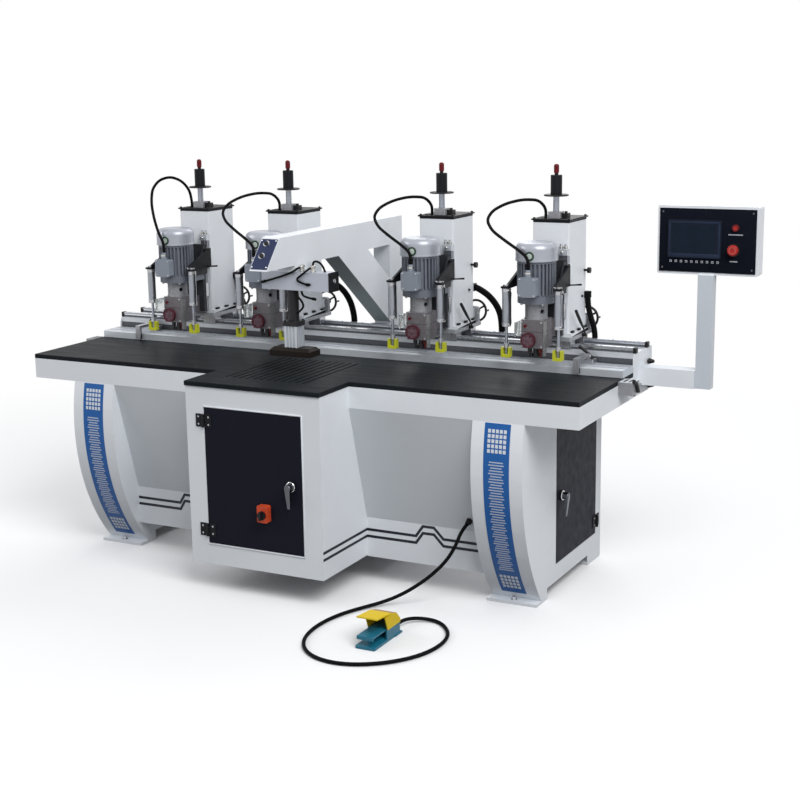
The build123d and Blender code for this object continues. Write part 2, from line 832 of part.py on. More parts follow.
# Guide way: beam, rails, end plates, cable tray and the clamp knobs of the panel support
def rail_beam():
    inside = half_table - sheet
    top = block(-inside, inside, beam_front, beam_rear, beam_top - beam_plate, beam_top)
    low = apron_bottom + sheet
    face_top = beam_top - beam_plate
    solids = [top, block(-inside, inside, beam_front, beam_front + beam_wall, low, face_top)]
    solids.append(block(-inside, inside, beam_rear - beam_wall, beam_rear, apron_top, face_top))
    y0 = fence_face + fence_depth + 2
    outline = [(y0, apron_top), (y0, beam_top - 22), (y0 + 10, beam_top)]
    outline += [(beam_rear, beam_top), (beam_rear, apron_top)]
    end = prism_x(outline, half_table - sheet, half_table)
    for y in rail_ys:
        w = rail_width / 2
        rail = block(-half_table, half_table, y - w, y + w, beam_top, rail_top)
        waist = (beam_top + 7, rail_top - 7)
        for s in (-1, 1):
            span = sorted((y + s * w, y + s * (w - 3)))
            rail = rail - block(-half_table, half_table, *span, *waist)
        solids.append(rail)
        cap = block(half_table, half_table + rail_cap, y - w, y + w, beam_top + 1, rail_top)
        solids += [cap] + mirrored([cap])
    solids += [end] + mirrored([end])
    x1 = half_table - 10
    y1 = beam_rear + tray_depth
    solids.append(block(-x1, x1, beam_rear, y1, tray_bottom, tray_bottom + sheet))
    solids.append(block(-x1, x1, y1 - sheet, y1, tray_bottom + sheet, tray_top))
    for z in (support_bottom - 22, support_bottom + support_height + 4):
        seat = rod_x(beam_rear - 20, z, half_table, half_table + 6, 6)
        knob = Pos(half_table + 17, beam_rear - 20, z) * Rot(0, 90, 0) * Cone(13, 6, 22)
        solids.append(seat + knob)
    return solids


# Boring head, drawn about its own X = 0 and carried to its place along the rails
def saddle():
    half = saddle_width / 2
    plate = block(-half, half, saddle_front, saddle_rear, saddle_bottom, saddle_top)
    solids = [fillet(plate.edges().filter_by(Axis.Z), 6)]
    w = rail_width / 2 + clear_gap
    for y in rail_ys:
        for x in (-bearing_spread, bearing_spread):
            x0, x1 = x - bearing_length / 2, x + bearing_length / 2
            y0, y1 = y - bearing_width / 2, y + bearing_width / 2
            body = block(x0, x1, y0, y1, beam_top + bearing_lift, saddle_bottom)
            solids.append(body - block(x0 - 1, x1 + 1, y - w, y + w, beam_top, rail_top + clear_gap))
    y1 = saddle_rear
    y0 = y1 - screw_bracket_thick
    x0, x1 = screw_x - screw_bracket_width / 2, screw_x + screw_bracket_width / 2
    bracket = block(x0, x1, y0, y1, saddle_top, screw_z + screw_bracket_width / 2)
    bracket = fillet(bracket.edges().filter_by(Axis.Y).group_by(Axis.Z)[-1], 14)
    solids.append(bracket - rod_y(screw_x, screw_z, y0 - 1, y1 + 1, screw_r + running_gap))
    return solids


def handwheel():
    # drawn about the middle of its rim
    y = saddle_rear + wheel_standoff
    half = wheel_rim_r
    rim = rod_y(0, 0, -half, half, wheel_r + half) - rod_y(0, 0, -half - 1, half + 1, wheel_r - half)
    rim = fillet(rim.edges().filter_by(GeomType.CIRCLE), 0.9 * half)
    shaft = rod_y(0, 0, col_rear - margin_travel - 2 - y, 8, screw_r)
    wheel = shaft + rod_y(0, 0, 1 - wheel_standoff, 10, wheel_hub_r)
    for i in range(3):
        spoke = Pos(wheel_r / 2, 0, 0) * Rot(0, 90, 0) * Cylinder(4, wheel_r)
        wheel = wheel + Rot(0, 90 + 120 * i, 0) * spoke
    peg = rod_y(wheel_r, 0, -1, 26, 4)
    return [Pos(screw_x, y, screw_z) * (wheel + rim + peg)]


def column_shell():
    half = column_width / 2
    outer = block(-half, half, col_front, col_rear, column_bottom, column_top)
    outer = fillet(outer.edges().filter_by(Axis.Z), column_edge_r)
    w = column_wall
    shell = outer - block(w - half, half - w, col_front + w, col_rear - w, column_bottom - 1, column_top + 1)
    room = yoke_width / 2 + 6
    low = yoke_z - feed_travel - 8
    shell = shell - block(-room, room, col_front - 1, col_front + w + 1, low, yoke_z + yoke_height + 8)
    return shell - rod_y(screw_x, screw_z, col_rear - w - 1, col_rear + 1, screw_r + 1)


def top_plate():
    half = column_width / 2 + top_plate_margin
    y0, y1 = col_front - top_plate_margin, col_rear + top_plate_margin
    plate = block(-half, half, y0, y1, column_top, column_top + top_plate_thick)
    x1 = cable_drop_x + cable_r + 4
    y1 = cable_drop_y + cable_r + 4
    slot = block(x1 - cable_slot[0], x1, y1 - cable_slot[1], y1, column_top - 1, column_top + 9)
    return plate - rod_z(0, rod_y_at, column_top - 1, column_top + 9, rod_r + clear_gap) - slot


def feed_cylinder():
    z0, z1 = column_top - cylinder_length, column_top
    barrel = rod_z(0, rod_y_at, z0, z1, cylinder_r)
    barrel = barrel - rod_z(0, rod_y_at, z0 + cylinder_cap, z1 - cylinder_cap, cylinder_bore)
    return barrel - rod_z(0, rod_y_at, z0 - 1, z1 + 1, rod_r + clear_gap)


def rod_guide():
    z0 = column_top + top_plate_thick
    half = rod_block / 2
    body = block(-half, half, rod_y_at - half, rod_y_at + half, z0, z0 + rod_block_height)
    body = fillet(body.edges().filter_by(Axis.Z), 6)
    body = body - rod_z(0, rod_y_at, z0 - 1, z0 + rod_block_height + 1, rod_r + clear_gap)
    valve = block(half, half + 26, rod_y_at - 8, rod_y_at + 22, z0, z0 + 20)
    elbow = rod_z(half + 13, rod_y_at + 8, z0 + 20, z0 + 27, 6)
    screws = []
    margin = column_width / 2 - 4
    for x in (-margin, margin):
        for y in (col_front + 4, col_rear - 4):
            screws.append(rod_z(x, y, z0, z0 + 5, 5))
    return [body, valve + elbow] + screws


def clamp_side(s):
    # one hold-down on the side s, on a bracket bolted to the front edge of the column
    inner, outer = clamp_plate_x, clamp_plate_x + clamp_plate_thick
    half = column_width / 2
    x = s * clamp_x
    z0 = clamp_barrel_z + clamp_barrel_length
    z1 = z0 + clamp_plate_height
    back = col_front - clamp_plate_back
    outline = [(clamp_y - 18, z0), (clamp_y - 18, z0 + 16), (back, z1), (back, z0)]
    plate = prism_x(outline, *sorted((s * inner, s * outer)))
    flange_x = sorted((s * outer, s * (clamp_x + clamp_barrel_r)))
    plate = plate + block(*flange_x, clamp_y - 18, clamp_y + 18, z0, z0 + 8)
    # the strap passes clear of the slide's gusset and bears on the flank of the column
    free, strap = half + 2, half + clamp_strap_thick
    plate = plate + block(*sorted((s * free, s * inner)), back - 6, back, z0, z1)
    plate = plate + block(*sorted((s * free, s * strap)), back, col_front + 14, z0, z1)
    plate = plate + block(*sorted((s * half, s * free)), slide_rear + 4, col_front + 14, z0, z1)
    bore = rod_z(x, clamp_y, clamp_barrel_z - 1, z0 - 12, clamp_rod_r + clear_gap)
    barrel = rod_z(x, clamp_y, clamp_barrel_z, z0, clamp_barrel_r) - bore
    barrel = fillet(barrel.edges().group_by(Axis.Z)[0].sort_by(SortBy.LENGTH)[-1:], 2)
    cap = rod_z(x, clamp_y, z0 + 8, z0 + 14, clamp_barrel_r - 8) + rod_x(clamp_y, z0 + 11, x - 14, x + 14, 3)
    return [plate, barrel, cap]


def flow_regulators():
    x0 = guide_x - guide_width / 2
    y0 = col_front - 30
    z0 = guide_top + 2
    body = block(x0, x0 + 40, y0, col_front, z0, z0 + 24)
    for x in (x0 + 10, x0 + 30):
        body = body + rod_z(x, y0 + 14, z0 + 24, z0 + 36, 8) + rod_z(x, y0 + 14, z0 + 36, z0 + 44, 6)
    return body + rod_z(x0 + 38, y0 + 14, z0 - 30, z0, 8)


def wide_conduit():
    # leaves the flank of the column sideways and drops into the cable tray
    x0 = column_width / 2 + 14
    y0 = col_rear - 31
    route = ((0, 0, 0), (48, 2, -5), (100, 16, -43), (124, 37, -97))
    route += ((131, 53, -157), (130, 60, -213), (128, 60, -255))
    nut = rod_x(y0, conduit_z, column_width / 2, x0, conduit_r + 4)
    return [(x0 + x, y0 + y, conduit_z + z) for x, y, z in route], nut, conduit_r


def rear_conduit():
    # leaves a block on the rear face of the column sideways and drops into the cable tray
    x0 = column_width / 2
    y0 = col_rear + 19
    route = ((0, 0, -6), (17, 2, -13), (39, 3, -25), (62, 4, -41), (84, 6, -64), (102, 8, -91))
    route += ((113, 9, -121), (117, 10, -151), (118, 12, -180), (117, 12, -255))
    reach = conduit_r + 3
    seat = block(x0 - 34, x0, col_rear, y0 + reach, conduit_z - 6 - reach, conduit_z - 6 + reach)
    return [(x0 + x, y0 + y, conduit_z + z) for x, y, z in route], seat, conduit_r


def close_conduit():
    # leaves an elbow block downwards, close to the rear edge of the column
    r = close_conduit_r
    x0 = column_width / 2 + r + 1
    y0 = col_rear - 8
    route = ((0, 0, 0), (1, 3, -40), (9, 14, -84), (18, 30, -128), (19, 42, -176), (18, 43, -236))
    points = [(x0 + x, y0 + y, elbow_z + z) for x, y, z in route]
    reach = r + 2
    elbow = block(column_width / 2, x0 + reach, y0 - reach, y0 + reach, elbow_z, elbow_z + elbow_height)
    return points, fillet(elbow.edges().filter_by(Axis.Z).sort_by(Axis.X)[2:], 8), r


def column(n):
    half = column_width / 2
    base_half = half + column_base_margin
    base = block(-base_half, base_half, col_front, col_rear, saddle_top + clear_gap, column_bottom)
    nut = block(screw_x - 15, screw_x + 15, col_rear, col_rear + nut_thick, screw_z - 17, screw_z + 17)
    nut = nut - rod_y(screw_x, screw_z, col_rear - 1, col_rear + nut_thick + 1, screw_r + clear_gap)
    solids = [column_shell(), base, nut, top_plate(), feed_cylinder(), flow_regulators()] + rod_guide()
    for s in (-1, 1):
        span = sorted((s * (guide_x - guide_width / 2), s * (guide_x + guide_width / 2)))
        solids.append(block(*span, col_front - guide_depth, col_front, column_bottom, guide_top))
        solids += clamp_side(s)
    if n in (3, 4):
        stem = rod_x(col_rear - 24, lock_knob_z, half, half + 16, 5)
        solids.append(stem + rod_x(col_rear - 24, lock_knob_z, half + 16, half + 28, 12))
    points, seat, r = {2: wide_conduit, 3: rear_conduit}.get(n, close_conduit)()
    conduit = tube(points, r, f"conduit_{n}")
    solids.append(seat)
    # cut into lengths, so that each piece is nearly straight
    levels = (conduit_z + 100, conduit_z - 58, beam_top + 28, tray_bottom)
    for z1, z0 in zip(levels, levels[1:]):
        solids.append(conduit & block(half, half + 200, col_front, col_rear + 100, z0, z1))
    return solids


def slide_bearings():
    solids = []
    w = guide_width / 2
    for s in (-1, 1):
        for z in (slide_bottom + 65, slide_top - 70):
            x0, x1 = s * guide_x - w - 8, s * guide_x + w + 8
            body = block(x0, x1, slide_rear, col_front - 3, z, z + 60)
            slot = (s * guide_x - w - clear_gap, s * guide_x + w + clear_gap)
            solids.append(body - block(*slot, col_front - guide_depth - clear_gap, col_front, z - 1, z + 61))
    return solids


def through_rod():
    z0 = yoke_z + yoke_height
    z1 = column_top + top_plate_thick + rod_block_height + stop_gap
    rod = rod_z(0, rod_y_at, z0, z1, rod_r)
    piston_z = column_top - cylinder_cap - 24
    piston = rod_z(0, rod_y_at, piston_z - 12, piston_z, cylinder_bore - clear_gap)
    z2 = z1 + stop_wheel_thick
    sleeve_top = z2 + stop_sleeve_length
    wheel = rod_z(0, rod_y_at, z1, z2, stop_wheel_r)
    sleeve = rod_z(0, rod_y_at, z2, sleeve_top, stop_sleeve_r)
    sleeve = fillet(sleeve.edges().group_by(Axis.Z)[-1], 3)
    neck = rod_z(0, rod_y_at, sleeve_top, sleeve_top + 8, red_knob_r - 3)
    knob_top = sleeve_top + red_knob_length
    knob = rod_z(0, rod_y_at, sleeve_top + 8, knob_top, red_knob_r)
    knob = fillet(knob.edges().group_by(Axis.Z)[-1], red_knob_r - 1.5)
    return [rod + piston, wheel + sleeve + neck, knob]


def side_drill_place(s):
    return s * drill_pitch / 2, spindle_y - drill_offset


def gear_case():
    half = case_width / 2
    y0, y1 = spindle_y - case_front, spindle_y + case_back
    case = block(-half, half, y0, y1, case_bottom, case_top)
    case = fillet(case.edges().filter_by(Axis.Z), 6)
    case = case + block(8 - half, half - 8, y1, slide_front, slide_bottom, case_top - 11)
    case = case - block(5 - half, half - 5, y0 + 14, y1 - 14, gear_z - 5, gear_z + gear_thick + 5)
    case = case - rod_z(0, spindle_y, case_bottom - 1, case_top + 1, spindle_r + running_gap)
    for s in (-1, 1):
        x, y = side_drill_place(s)
        bore = rod_z(x, y, case_bottom - 1, gear_z + gear_thick + 17, side_spindle_r + running_gap)
        case = case - bore
    return case


def bell():
    outer = rod_z(0, spindle_y, case_top, motor_plate_z, bell_r)
    outer = outer - rod_z(0, spindle_y, case_top - 1, motor_plate_z + 1, bell_bore)
    window = Rot(0, 0, -35) * Pos(bell_r, 0, 0) * Rot(0, 90, 0) * Cylinder(9, 40)
    return outer - Pos(0, spindle_y, (case_top + motor_plate_z) / 2) * window


def drill_head():
    half = slide_width / 2
    plate = block(-half, half, slide_front, slide_rear, slide_bottom, slide_top)
    shelf_top = motor_plate_z + motor_plate_thick
    shelf = block(-half - 6, half + 6, spindle_y, slide_front, motor_plate_z, shelf_top)
    shelf = shelf + rod_z(0, spindle_y, motor_plate_z, shelf_top, motor_core_r + 10)
    shelf = shelf - rod_z(0, spindle_y, motor_plate_z - 1, shelf_top + 1, bell_bore)
    solids = [plate, shelf, gear_case(), bell()]
    for s in (-1, 1):
        gusset = [(slide_front, shelf_top), (slide_front - 82, shelf_top), (slide_front, slide_top)]
        web = sorted((s * (half + 6), s * (half + 12)))
        side = prism_x(gusset, *web)
        foot = block(*sorted((s * half, s * (half + 12))), slide_front, slide_rear, shelf_top, slide_top)
        solids.append(side + foot)
    yoke_back = rod_y_at + yoke_width / 2
    w = yoke_width / 2
    solids.append(block(-w, w, slide_rear, yoke_back, yoke_z, yoke_z + yoke_height))
    cap_y = spindle_y - case_front
    cap = rod_y(cap_x, cap_z, cap_y - cap_thick, cap_y, cap_r)
    cap = cap - rod_y(cap_x, cap_z, cap_y - cap_thick - 1, cap_y - cap_thick + 3, cap_r - 6)
    solids.append(cap)
    solids.append(rod_y(plug_x, plug_z, cap_y - 6, cap_y, plug_r))
    guard = block(case_width / 2, case_width / 2 + 3, cap_y, cap_y + 30, case_bottom - 30, case_top - 6)
    solids.append(guard)
    return solids + slide_bearings() + through_rod()


def motor():
    fin_step = 2 * pi / motor_fin_count
    points = []
    for i in range(motor_fin_count):
        a = i * fin_step
        for share in (-0.28, -0.2, 0.2, 0.28):
            r = motor_fin_r if abs(share) < 0.25 else motor_core_r
            t = a + share * fin_step
            points.append((r * cos(t), spindle_y + r * sin(t)))
    foot = motor_foot_z
    body = prism_z(points, foot + 10, motor_cowl_z)
    body = body + rod_z(0, spindle_y, foot, foot + 10, motor_core_r + 6)
    body = body + rod_z(0, spindle_y, motor_cowl_z - 8, motor_cowl_z, motor_fin_r)
    box_back = spindle_y - motor_core_r + 6
    box_front = motor_gland_y - term_gland_inset
    x0, x1 = term_x - term_width / 2, term_x + term_width / 2
    term_top = term_bottom + term_height
    neck = block(x0 + 8, x1 - 8, box_back - 22, box_back, term_bottom + 6, term_top - 6)
    box = block(x0, x1, box_front + 8, box_back - 22, term_bottom, term_top)
    box = fillet(box.edges().filter_by(Axis.Y), 6)
    lid = block(x0 - 2, x1 + 2, box_front, box_front + 8, term_bottom - 2, term_top + 2)
    lid = fillet(lid.edges().filter_by(Axis.Y), 8)
    body = body + neck + box
    cowl = rod_z(0, spindle_y, motor_cowl_z, motor_top, motor_cowl_r)
    cowl = fillet(cowl.edges().group_by(Axis.Z)[-1], motor_cowl_fillet)
    gland = rod_z(motor_gland_x, motor_gland_y, term_top, term_top + motor_gland_height, 9)
    return [body, lid, cowl, gland]


def cable_points(n):
    z0 = term_bottom + term_height + motor_gland_height
    x1 = cable_drop_x
    low = [
        (-36, -278, 490), (-104, -258, 524), (-172, -228, 558), (-210, -192, 594), (-206, -146, 627),
        (-168, -98, 653), (-112, -58, 667), (-60, -22, 663), (x1, 0, 630),
    ]
    high = [
        (-20, -284, 502), (-54, -266, 564), (-88, -234, 628), (-112, -189, 684), (-110, -138, 720),
        (-84, -88, 732), (-56, -42, 710), (-41, -8, 666), (x1, 0, 614),
    ]
    loop = [(x, cable_drop_y + y, table_height + z) for x, y, z in (high if n == 1 else low)]
    tail = [(x1 - 1, cable_drop_y, column_top - 7), (x1, cable_drop_y, column_top - 45)]
    return [(motor_gland_x, motor_gland_y, z0), (motor_gland_x, motor_gland_y, z0 + 46)] + loop + tail


def motor_cable(n):
    return [tube(cable_points(n), cable_r, f"motor_cable_{n}")]


def gear(r, teeth, phase):
    module = 2 * r / teeth
    step = 2 * pi / teeth
    flanks = ((-0.27, -1.15), (-0.17, 0.0), (-0.08, 0.7), (0.08, 0.7), (0.17, 0.0), (0.27, -1.15))
    points = []
    for i in range(teeth):
        for share, height in flanks:
            a = radians(phase) + (i + share) * step
            points.append(((r + height * module) * cos(a), (r + height * module) * sin(a)))
    return prism_z(points, gear_z, gear_z + gear_thick)


gear_r = hypot(drill_pitch / 2, drill_offset) / 2


def mesh_phase(direction):
    # the side gear's phase that lets it mesh with a centre gear that has a tooth on +X
    step = 360 / gear_teeth
    lead = (-direction + step / 2) % step - step / 2
    return direction + 180 - lead + step / 2


def hinge_cutter():
    bore = rod_z(0, spindle_y, bit_bottom + cutter_height, motor_plate_z - 18, spindle_r)
    shank = rod_z(0, spindle_y, bit_bottom + cutter_height, case_bottom - 4, spindle_r + 4)
    head = rod_z(0, spindle_y, bit_bottom, bit_bottom + cutter_height, cutter_r)
    for i in range(3):
        gullet = Rot(0, 0, 120 * i) * Pos(cutter_r, 0, 0) * Box(9, 7, 2 * cutter_height)
        head = head - Pos(0, spindle_y, bit_bottom + cutter_height / 2) * gullet
    coupling = rod_z(0, spindle_y, case_top + 19, motor_plate_z - 18, 22)
    return [bore + shank + head + coupling + Pos(0, spindle_y, 0) * gear(gear_r, gear_teeth, 0)]


def side_drill(s):
    x, y = side_drill_place(s)
    direction = degrees(atan2(-drill_offset, s * drill_pitch / 2))
    shaft = rod_z(x, y, case_bottom - 15, gear_z + gear_thick + 15, side_spindle_r)
    chuck = rod_z(x, y, case_bottom - 20, case_bottom - 3, drill_r + 4)
    bit = rod_z(x, y, bit_bottom, case_bottom - 15, drill_r)
    bit = chamfer(bit.edges().group_by(Axis.Z)[0], drill_r * 0.6)
    return [shaft + chuck + bit + Pos(x, y, 0) * gear(gear_r, gear_teeth, mesh_phase(direction))]


def clamp_feet():
    solids = []
    for s in (-1, 1):
        x = s * clamp_x
        rod = rod_z(x, clamp_y, foot_bottom + 12, clamp_barrel_z + 100, clamp_rod_r)
        foot_top = foot_bottom + foot_height
        nut = rod_z(x, clamp_y, foot_top - 2, foot_top + 16, clamp_rod_r + 4)
        half, deep = foot_width / 2, foot_depth / 2
        y0, y1 = clamp_y - deep, clamp_y + deep
        foot = block(x - half, x + half, y0, y1, foot_bottom, foot_top)
        gap = clamp_rod_r + 4.5
        foot = foot - block(x - gap, x + gap, y0 - 1, y1 + 1, foot_bottom + 12, foot_top + 1)
        foot = fillet(foot.edges().filter_by(Axis.Y).group_by(Axis.Z)[0], 4)
        solids += [rod + nut, foot]
    return solids


# Press arm over the centre table
def arm_slope():
    run = hypot(arm_slant, arm_top - arm_bottom)
    return degrees(atan2(arm_top - arm_bottom, arm_slant)), run


def button_place(step):
    tilt, run = arm_slope()
    y = front + arm_front + arm_slant * step
    z = arm_bottom + (arm_top - arm_bottom) * step
    return Pos(button_x, y, z) * Rot(tilt, 0, 0)


def press_arm():
    w = arm_width / 2
    y0 = front + arm_front
    outline = [(y0, arm_bottom), (y0 + arm_slant, arm_top), (arm_rear, arm_top), (arm_rear, arm_bottom)]
    beam = hollow_prism(outline, -w, w, arm_wall)
    brace_line = [(post_front - reach, arm_bottom) for reach in brace_reach]
    brace_line += [(post_front, arm_bottom - drop) for drop in brace_drop[::-1]]
    brace = hollow_prism(brace_line, -w, w, arm_wall)
    post_line = [(post_front, post_bottom), (post_front, arm_bottom)]
    post_line += [(arm_rear, arm_bottom), (arm_rear, post_bottom)]
    post = hollow_prism(post_line, -w, w, arm_wall)
    flange = block(-w - 60, w + 60, base_rear, post_front, post_bottom, apron_bottom - 40)
    tilt, run = arm_slope()
    face = block(4 - w, w - 4, 8, run - 8, 0, 3)
    plate = Pos(0, y0, arm_bottom) * Rot(tilt, 0, 0) * face
    rings = []
    for step in button_steps:
        hole = button_place(step) * Cylinder(button_r + clear_gap, 60)
        plate = plate - hole
        beam = beam - hole
        rings.append(button_place(step) * Pos(0, 0, 5) * Cylinder(button_ring_r, 4) - hole)
    solids = [beam, brace, post, flange, plate] + rings
    c0, c1 = front + press_y - cross_depth / 2, front + press_y + cross_depth / 2
    x0, x1 = cross_span
    cross_top = cross_bottom + cross_height
    solids.append(hollow_block(x0, x1, c0, c1, cross_bottom, cross_top, 4))
    solids.append(block(-w, w, c0 - 12, c1 + 12, cross_top, arm_bottom))
    solids.append(block(x1, x1 + 5, c0 - 2, c1 + 2, cross_bottom - 2, cross_top + 2))
    yc = front + press_y
    flange_top = press_body_top + press_flange_thick
    solids.append(rod_z(0, yc, flange_top, cross_bottom, press_tube_r))
    b = press_body / 2
    solids.append(block(-b - 3, b + 3, yc - b - 3, yc + b + 3, press_body_top, flange_top))
    body = block(-b, b, yc - b, yc + b, press_body_bottom, press_body_top)
    for i in (-1, 0, 1):
        cut = i * b / 2
        for s in (-1, 1):
            span = sorted((yc + s * b, yc + s * (b - 5)))
            body = body - block(cut - 5, cut + 5, *span, press_body_bottom - 1, press_body_top + 1)
            span = sorted((s * b, s * (b - 5)))
            body = body - block(*span, yc + cut - 5, yc + cut + 5, press_body_bottom - 1, press_body_top + 1)
    bore_top = press_body_bottom + ram_hold + 3
    solids.append(body - rod_z(0, yc, press_body_bottom - 1, bore_top, ram_r + running_gap))
    return solids


def press_ram():
    yc = front + press_y
    half, deep = pad_length / 2, pad_depth / 2
    pad_top = press_body_bottom - clear_gap
    pad = block(-half, half, yc - deep, yc + deep, pad_bottom, pad_top)
    pad = chamfer(pad.edges().group_by(Axis.Z)[-1], pad_bevel)
    ram = rod_z(0, yc, pad_top, press_body_bottom + ram_hold, ram_r)
    return [pad, ram]


def arm_button(step):
    return [button_place(step) * (Pos(0, 0, 3) * Cylinder(button_r, 16))]


# Control panel on its post
def control_panel():
    y0, y1 = support_y, support_y + support_depth
    z0, z1 = support_bottom, support_bottom + support_height
    arm = hollow_block(half_table, post_x, y0, y1, z0, z1, 4)
    py = support_y + (support_depth - post_depth) / 2
    post = hollow_block(post_x, post_x + post_width, py, py + post_depth, z0, panel_bottom, 4)
    f = panel_front
    x1, top = panel_x + panel_width, panel_bottom + panel_height
    box = block(panel_x, x1, f, f + panel_depth, panel_bottom, top)
    box = fillet(box.edges().filter_by(Axis.Y), 8)
    w = panel_wall
    box = box - block(panel_x + w, x1 - w, f + w, f + panel_depth - w, panel_bottom + w, top - w)
    m = face_margin
    face = block(panel_x + m, x1 - m, f - face_thick, f, panel_bottom + m, top - m)
    sx, sz = panel_x + stop_button_x, panel_bottom + stop_button_z
    hole = rod_y(sx, sz, f - 30, f + 30, stop_stem_r + clear_gap)
    x0, zs = panel_x + screen_x, panel_bottom + screen_z
    y_face = f - face_thick
    bezel = block(x0, x0 + screen_width, y_face - bezel_thick, y_face, zs, zs + screen_height)
    bezel = fillet(bezel.edges().filter_by(Axis.Y), 5)
    b = bezel_margin
    pane_x, pane_z = (x0 + b, x0 + screen_width - b), (zs + b, zs + screen_height - b)
    screen = block(*pane_x, y_face - bezel_thick - 0.4, y_face - 2, *pane_z)
    lamp = rod_y(panel_x + lamp_x, panel_bottom + lamp_z, y_face - 8, y_face, lamp_r)
    collar = rod_y(sx, sz, y_face - 4, y_face, stop_button_r + 4) - hole
    return [arm, post, box - hole, face - hole, bezel - screen, screen, lamp, collar]


def stop_button():
    sx, sz = panel_x + stop_button_x, panel_bottom + stop_button_z
    y_face = panel_front - face_thick
    y0 = y_face - 4 - stop_travel - 1
    cap = rod_y(sx, sz, y0 - 14, y0, stop_button_r)
    cap = fillet(cap.edges().group_by(Axis.Y)[0], 5)
    return [cap + rod_y(sx, sz, y0, y_face + 12, stop_stem_r)]


# Foot pedal on the floor in front
def pedal_body():
    x0, x1 = pedal_x, pedal_x + pedal_width
    y0, y1 = front + pedal_front, front + pedal_front + pedal_length
    base = fillet(block(x0, x1, y0, y1, 0, pedal_base).edges().filter_by(Axis.Z), 6)
    solids = [base]
    c = pedal_cheek
    pivot = (y1 - pedal_pivot_back, pedal_pivot_z)
    hole = rod_x(*pivot, x0 - 1, x1 + 1, pedal_pin_r + running_gap)
    for x in (x0, x1 - c):
        solids.append(block(x, x + c, y1 - 100, y1, pedal_base, pedal_body_top) - hole)
    solids.append(block(x0 + c, x1 - c, y1 - 20, y1, pedal_base, pedal_body_top))
    z0, t = pedal_body_top, hood_thick
    ridge = [(y1, z0), (y1, z0 + 14), (y1 - 30, z0 + 45), (y1 - 72, z0 + 57), (y1 - 180, z0 + 68)]
    under = [(y1 - 180, z0 + 68 - t), (y1 - 72, z0 + 57 - t), (y1 - 32, z0 + 45 - t)]
    under += [(y1 - t, z0 + 12), (y1 - t, z0)]
    below = under[::-1]
    for i in range(len(ridge) - 1):
        strip = [ridge[i], ridge[i + 1], below[i + 1], below[i]]
        solids.append(prism_x(strip, x0 - 2, x1 + 2))
    cheek = under[1:] + [(y1 - 97, z0), (y1 - 118, z0 + 57 - t)]
    for x in (x0 - 2, x1 - 2):
        solids.append(prism_x(cheek, x, x + 4))
    solids.append(rod_y(pedal_gland_x, pedal_gland_z, y1, y1 + pedal_gland_length, cord_r + 3))
    return solids


def pedal_treadle():
    c = pedal_cheek + 1
    x0, x1 = pedal_x + c, pedal_x + pedal_width - c
    y0, y1 = front + pedal_front, front + pedal_front + pedal_length
    pivot = (y1 - pedal_pivot_back, pedal_pivot_z)
    z0 = treadle_bottom
    plate = block(x0, x1, y0 + 2, pivot[0] + 5, z0, z0 + treadle_thick)
    lip = block(x0, x1, y0 + 2, y0 + 8, z0 - 7, z0)
    hub = rod_x(*pivot, x0, x1, pedal_pin_r + 5)
    pin = rod_x(*pivot, pedal_x, pedal_x + pedal_width, pedal_pin_r)
    return [plate + lip + hub + pin]


def cord_points():
    # from the gland in the base, down to the floor, round the pedal and into its back
    lean = atan2(lower_rail_setback, apron_bottom - lower_rail_top)
    out_y = knee_y(gland_z) - gland_length * cos(lean)
    out_z = gland_z - gland_length * sin(lean)
    end_y = front + pedal_front + pedal_length + pedal_gland_length
    end_z = pedal_gland_z
    low = cord_rest_z
    middle = [
        (752, 14, 246), (716, 8, 183), (668, -18, 128), (610, -45, 80), (548, -72, 40),
        (490, -108, 16), (440, -168, low), (403, -250, low), (381, -345, low), (379, -445, low),
        (400, -545, low), (455, -635, low), (540, -690, low), (640, -697, low), (735, -655, low),
        (815, -580, low), (865, -485, low), (880, -380, low), (862, -285, low), (812, -215, low),
        (760, -179, 8.25), (706, -188, 13), (672, -226, 20),
    ]
    route = [(gland_x, out_y, out_z), (gland_x, out_y - 58 * cos(lean), out_z - 58 * sin(lean))]
    route += [(x, front + y, z) for x, y, z in middle]
    return route + [(pedal_gland_x, end_y + 30, end_z), (pedal_gland_x, end_y, end_z)]


def pedal_cord():
    return [tube(cord_points(), cord_r, "pedal_cord")]


parts["base_frame"] = base_frame()
parts["center_door"] = center_door()
parts["center_door_handle"] = center_door_handle()
parts["main_switch_knob"] = main_switch_knob()
parts["side_door"] = side_door()
parts["side_door_handle"] = side_door_handle()
parts["table_top"] = table_top()
parts["fence"] = fence()
parts["flip_stop_left"] = flip_stop(stop_x[0])
parts["flip_stop_right"] = flip_stop(stop_x[1])
parts["rail_beam"] = rail_beam()
for n, x in enumerate(head_x, 1):
    head = {
        f"saddle_{n}": saddle(),
        f"handwheel_{n}": handwheel(),
        f"column_{n}": column(n),
        f"drill_head_{n}": drill_head(),
        f"motor_{n}": motor(),
        f"motor_cable_{n}": motor_cable(n),
        f"hinge_cutter_{n}": hinge_cutter(),
        f"left_drill_{n}": side_drill(-1),
        f"right_drill_{n}": side_drill(1),
        f"clamp_feet_{n}": clamp_feet(),
    }
    for name, solids in head.items():
        parts[name] = [Pos(x, 0, 0) * s for s in solids]
parts["press_arm"] = press_arm()
parts["press_ram"] = press_ram()
parts["arm_button_low"] = arm_button(button_steps[0])
parts["arm_button_high"] = arm_button(button_steps[1])
parts["control_panel"] = control_panel()
parts["stop_button"] = stop_button()
parts["pedal_body"] = pedal_body()
parts["pedal_treadle"] = pedal_treadle()
parts["pedal_cord"] = pedal_cord()

os.makedirs("parts", exist_ok=True)
for name, solids in parts.items():
    shapes = [solid for shape in solids for solid in shape.solids()]
    export_step(Compound(shapes), f"parts/{name}.step")
print(len(parts), "nodes")
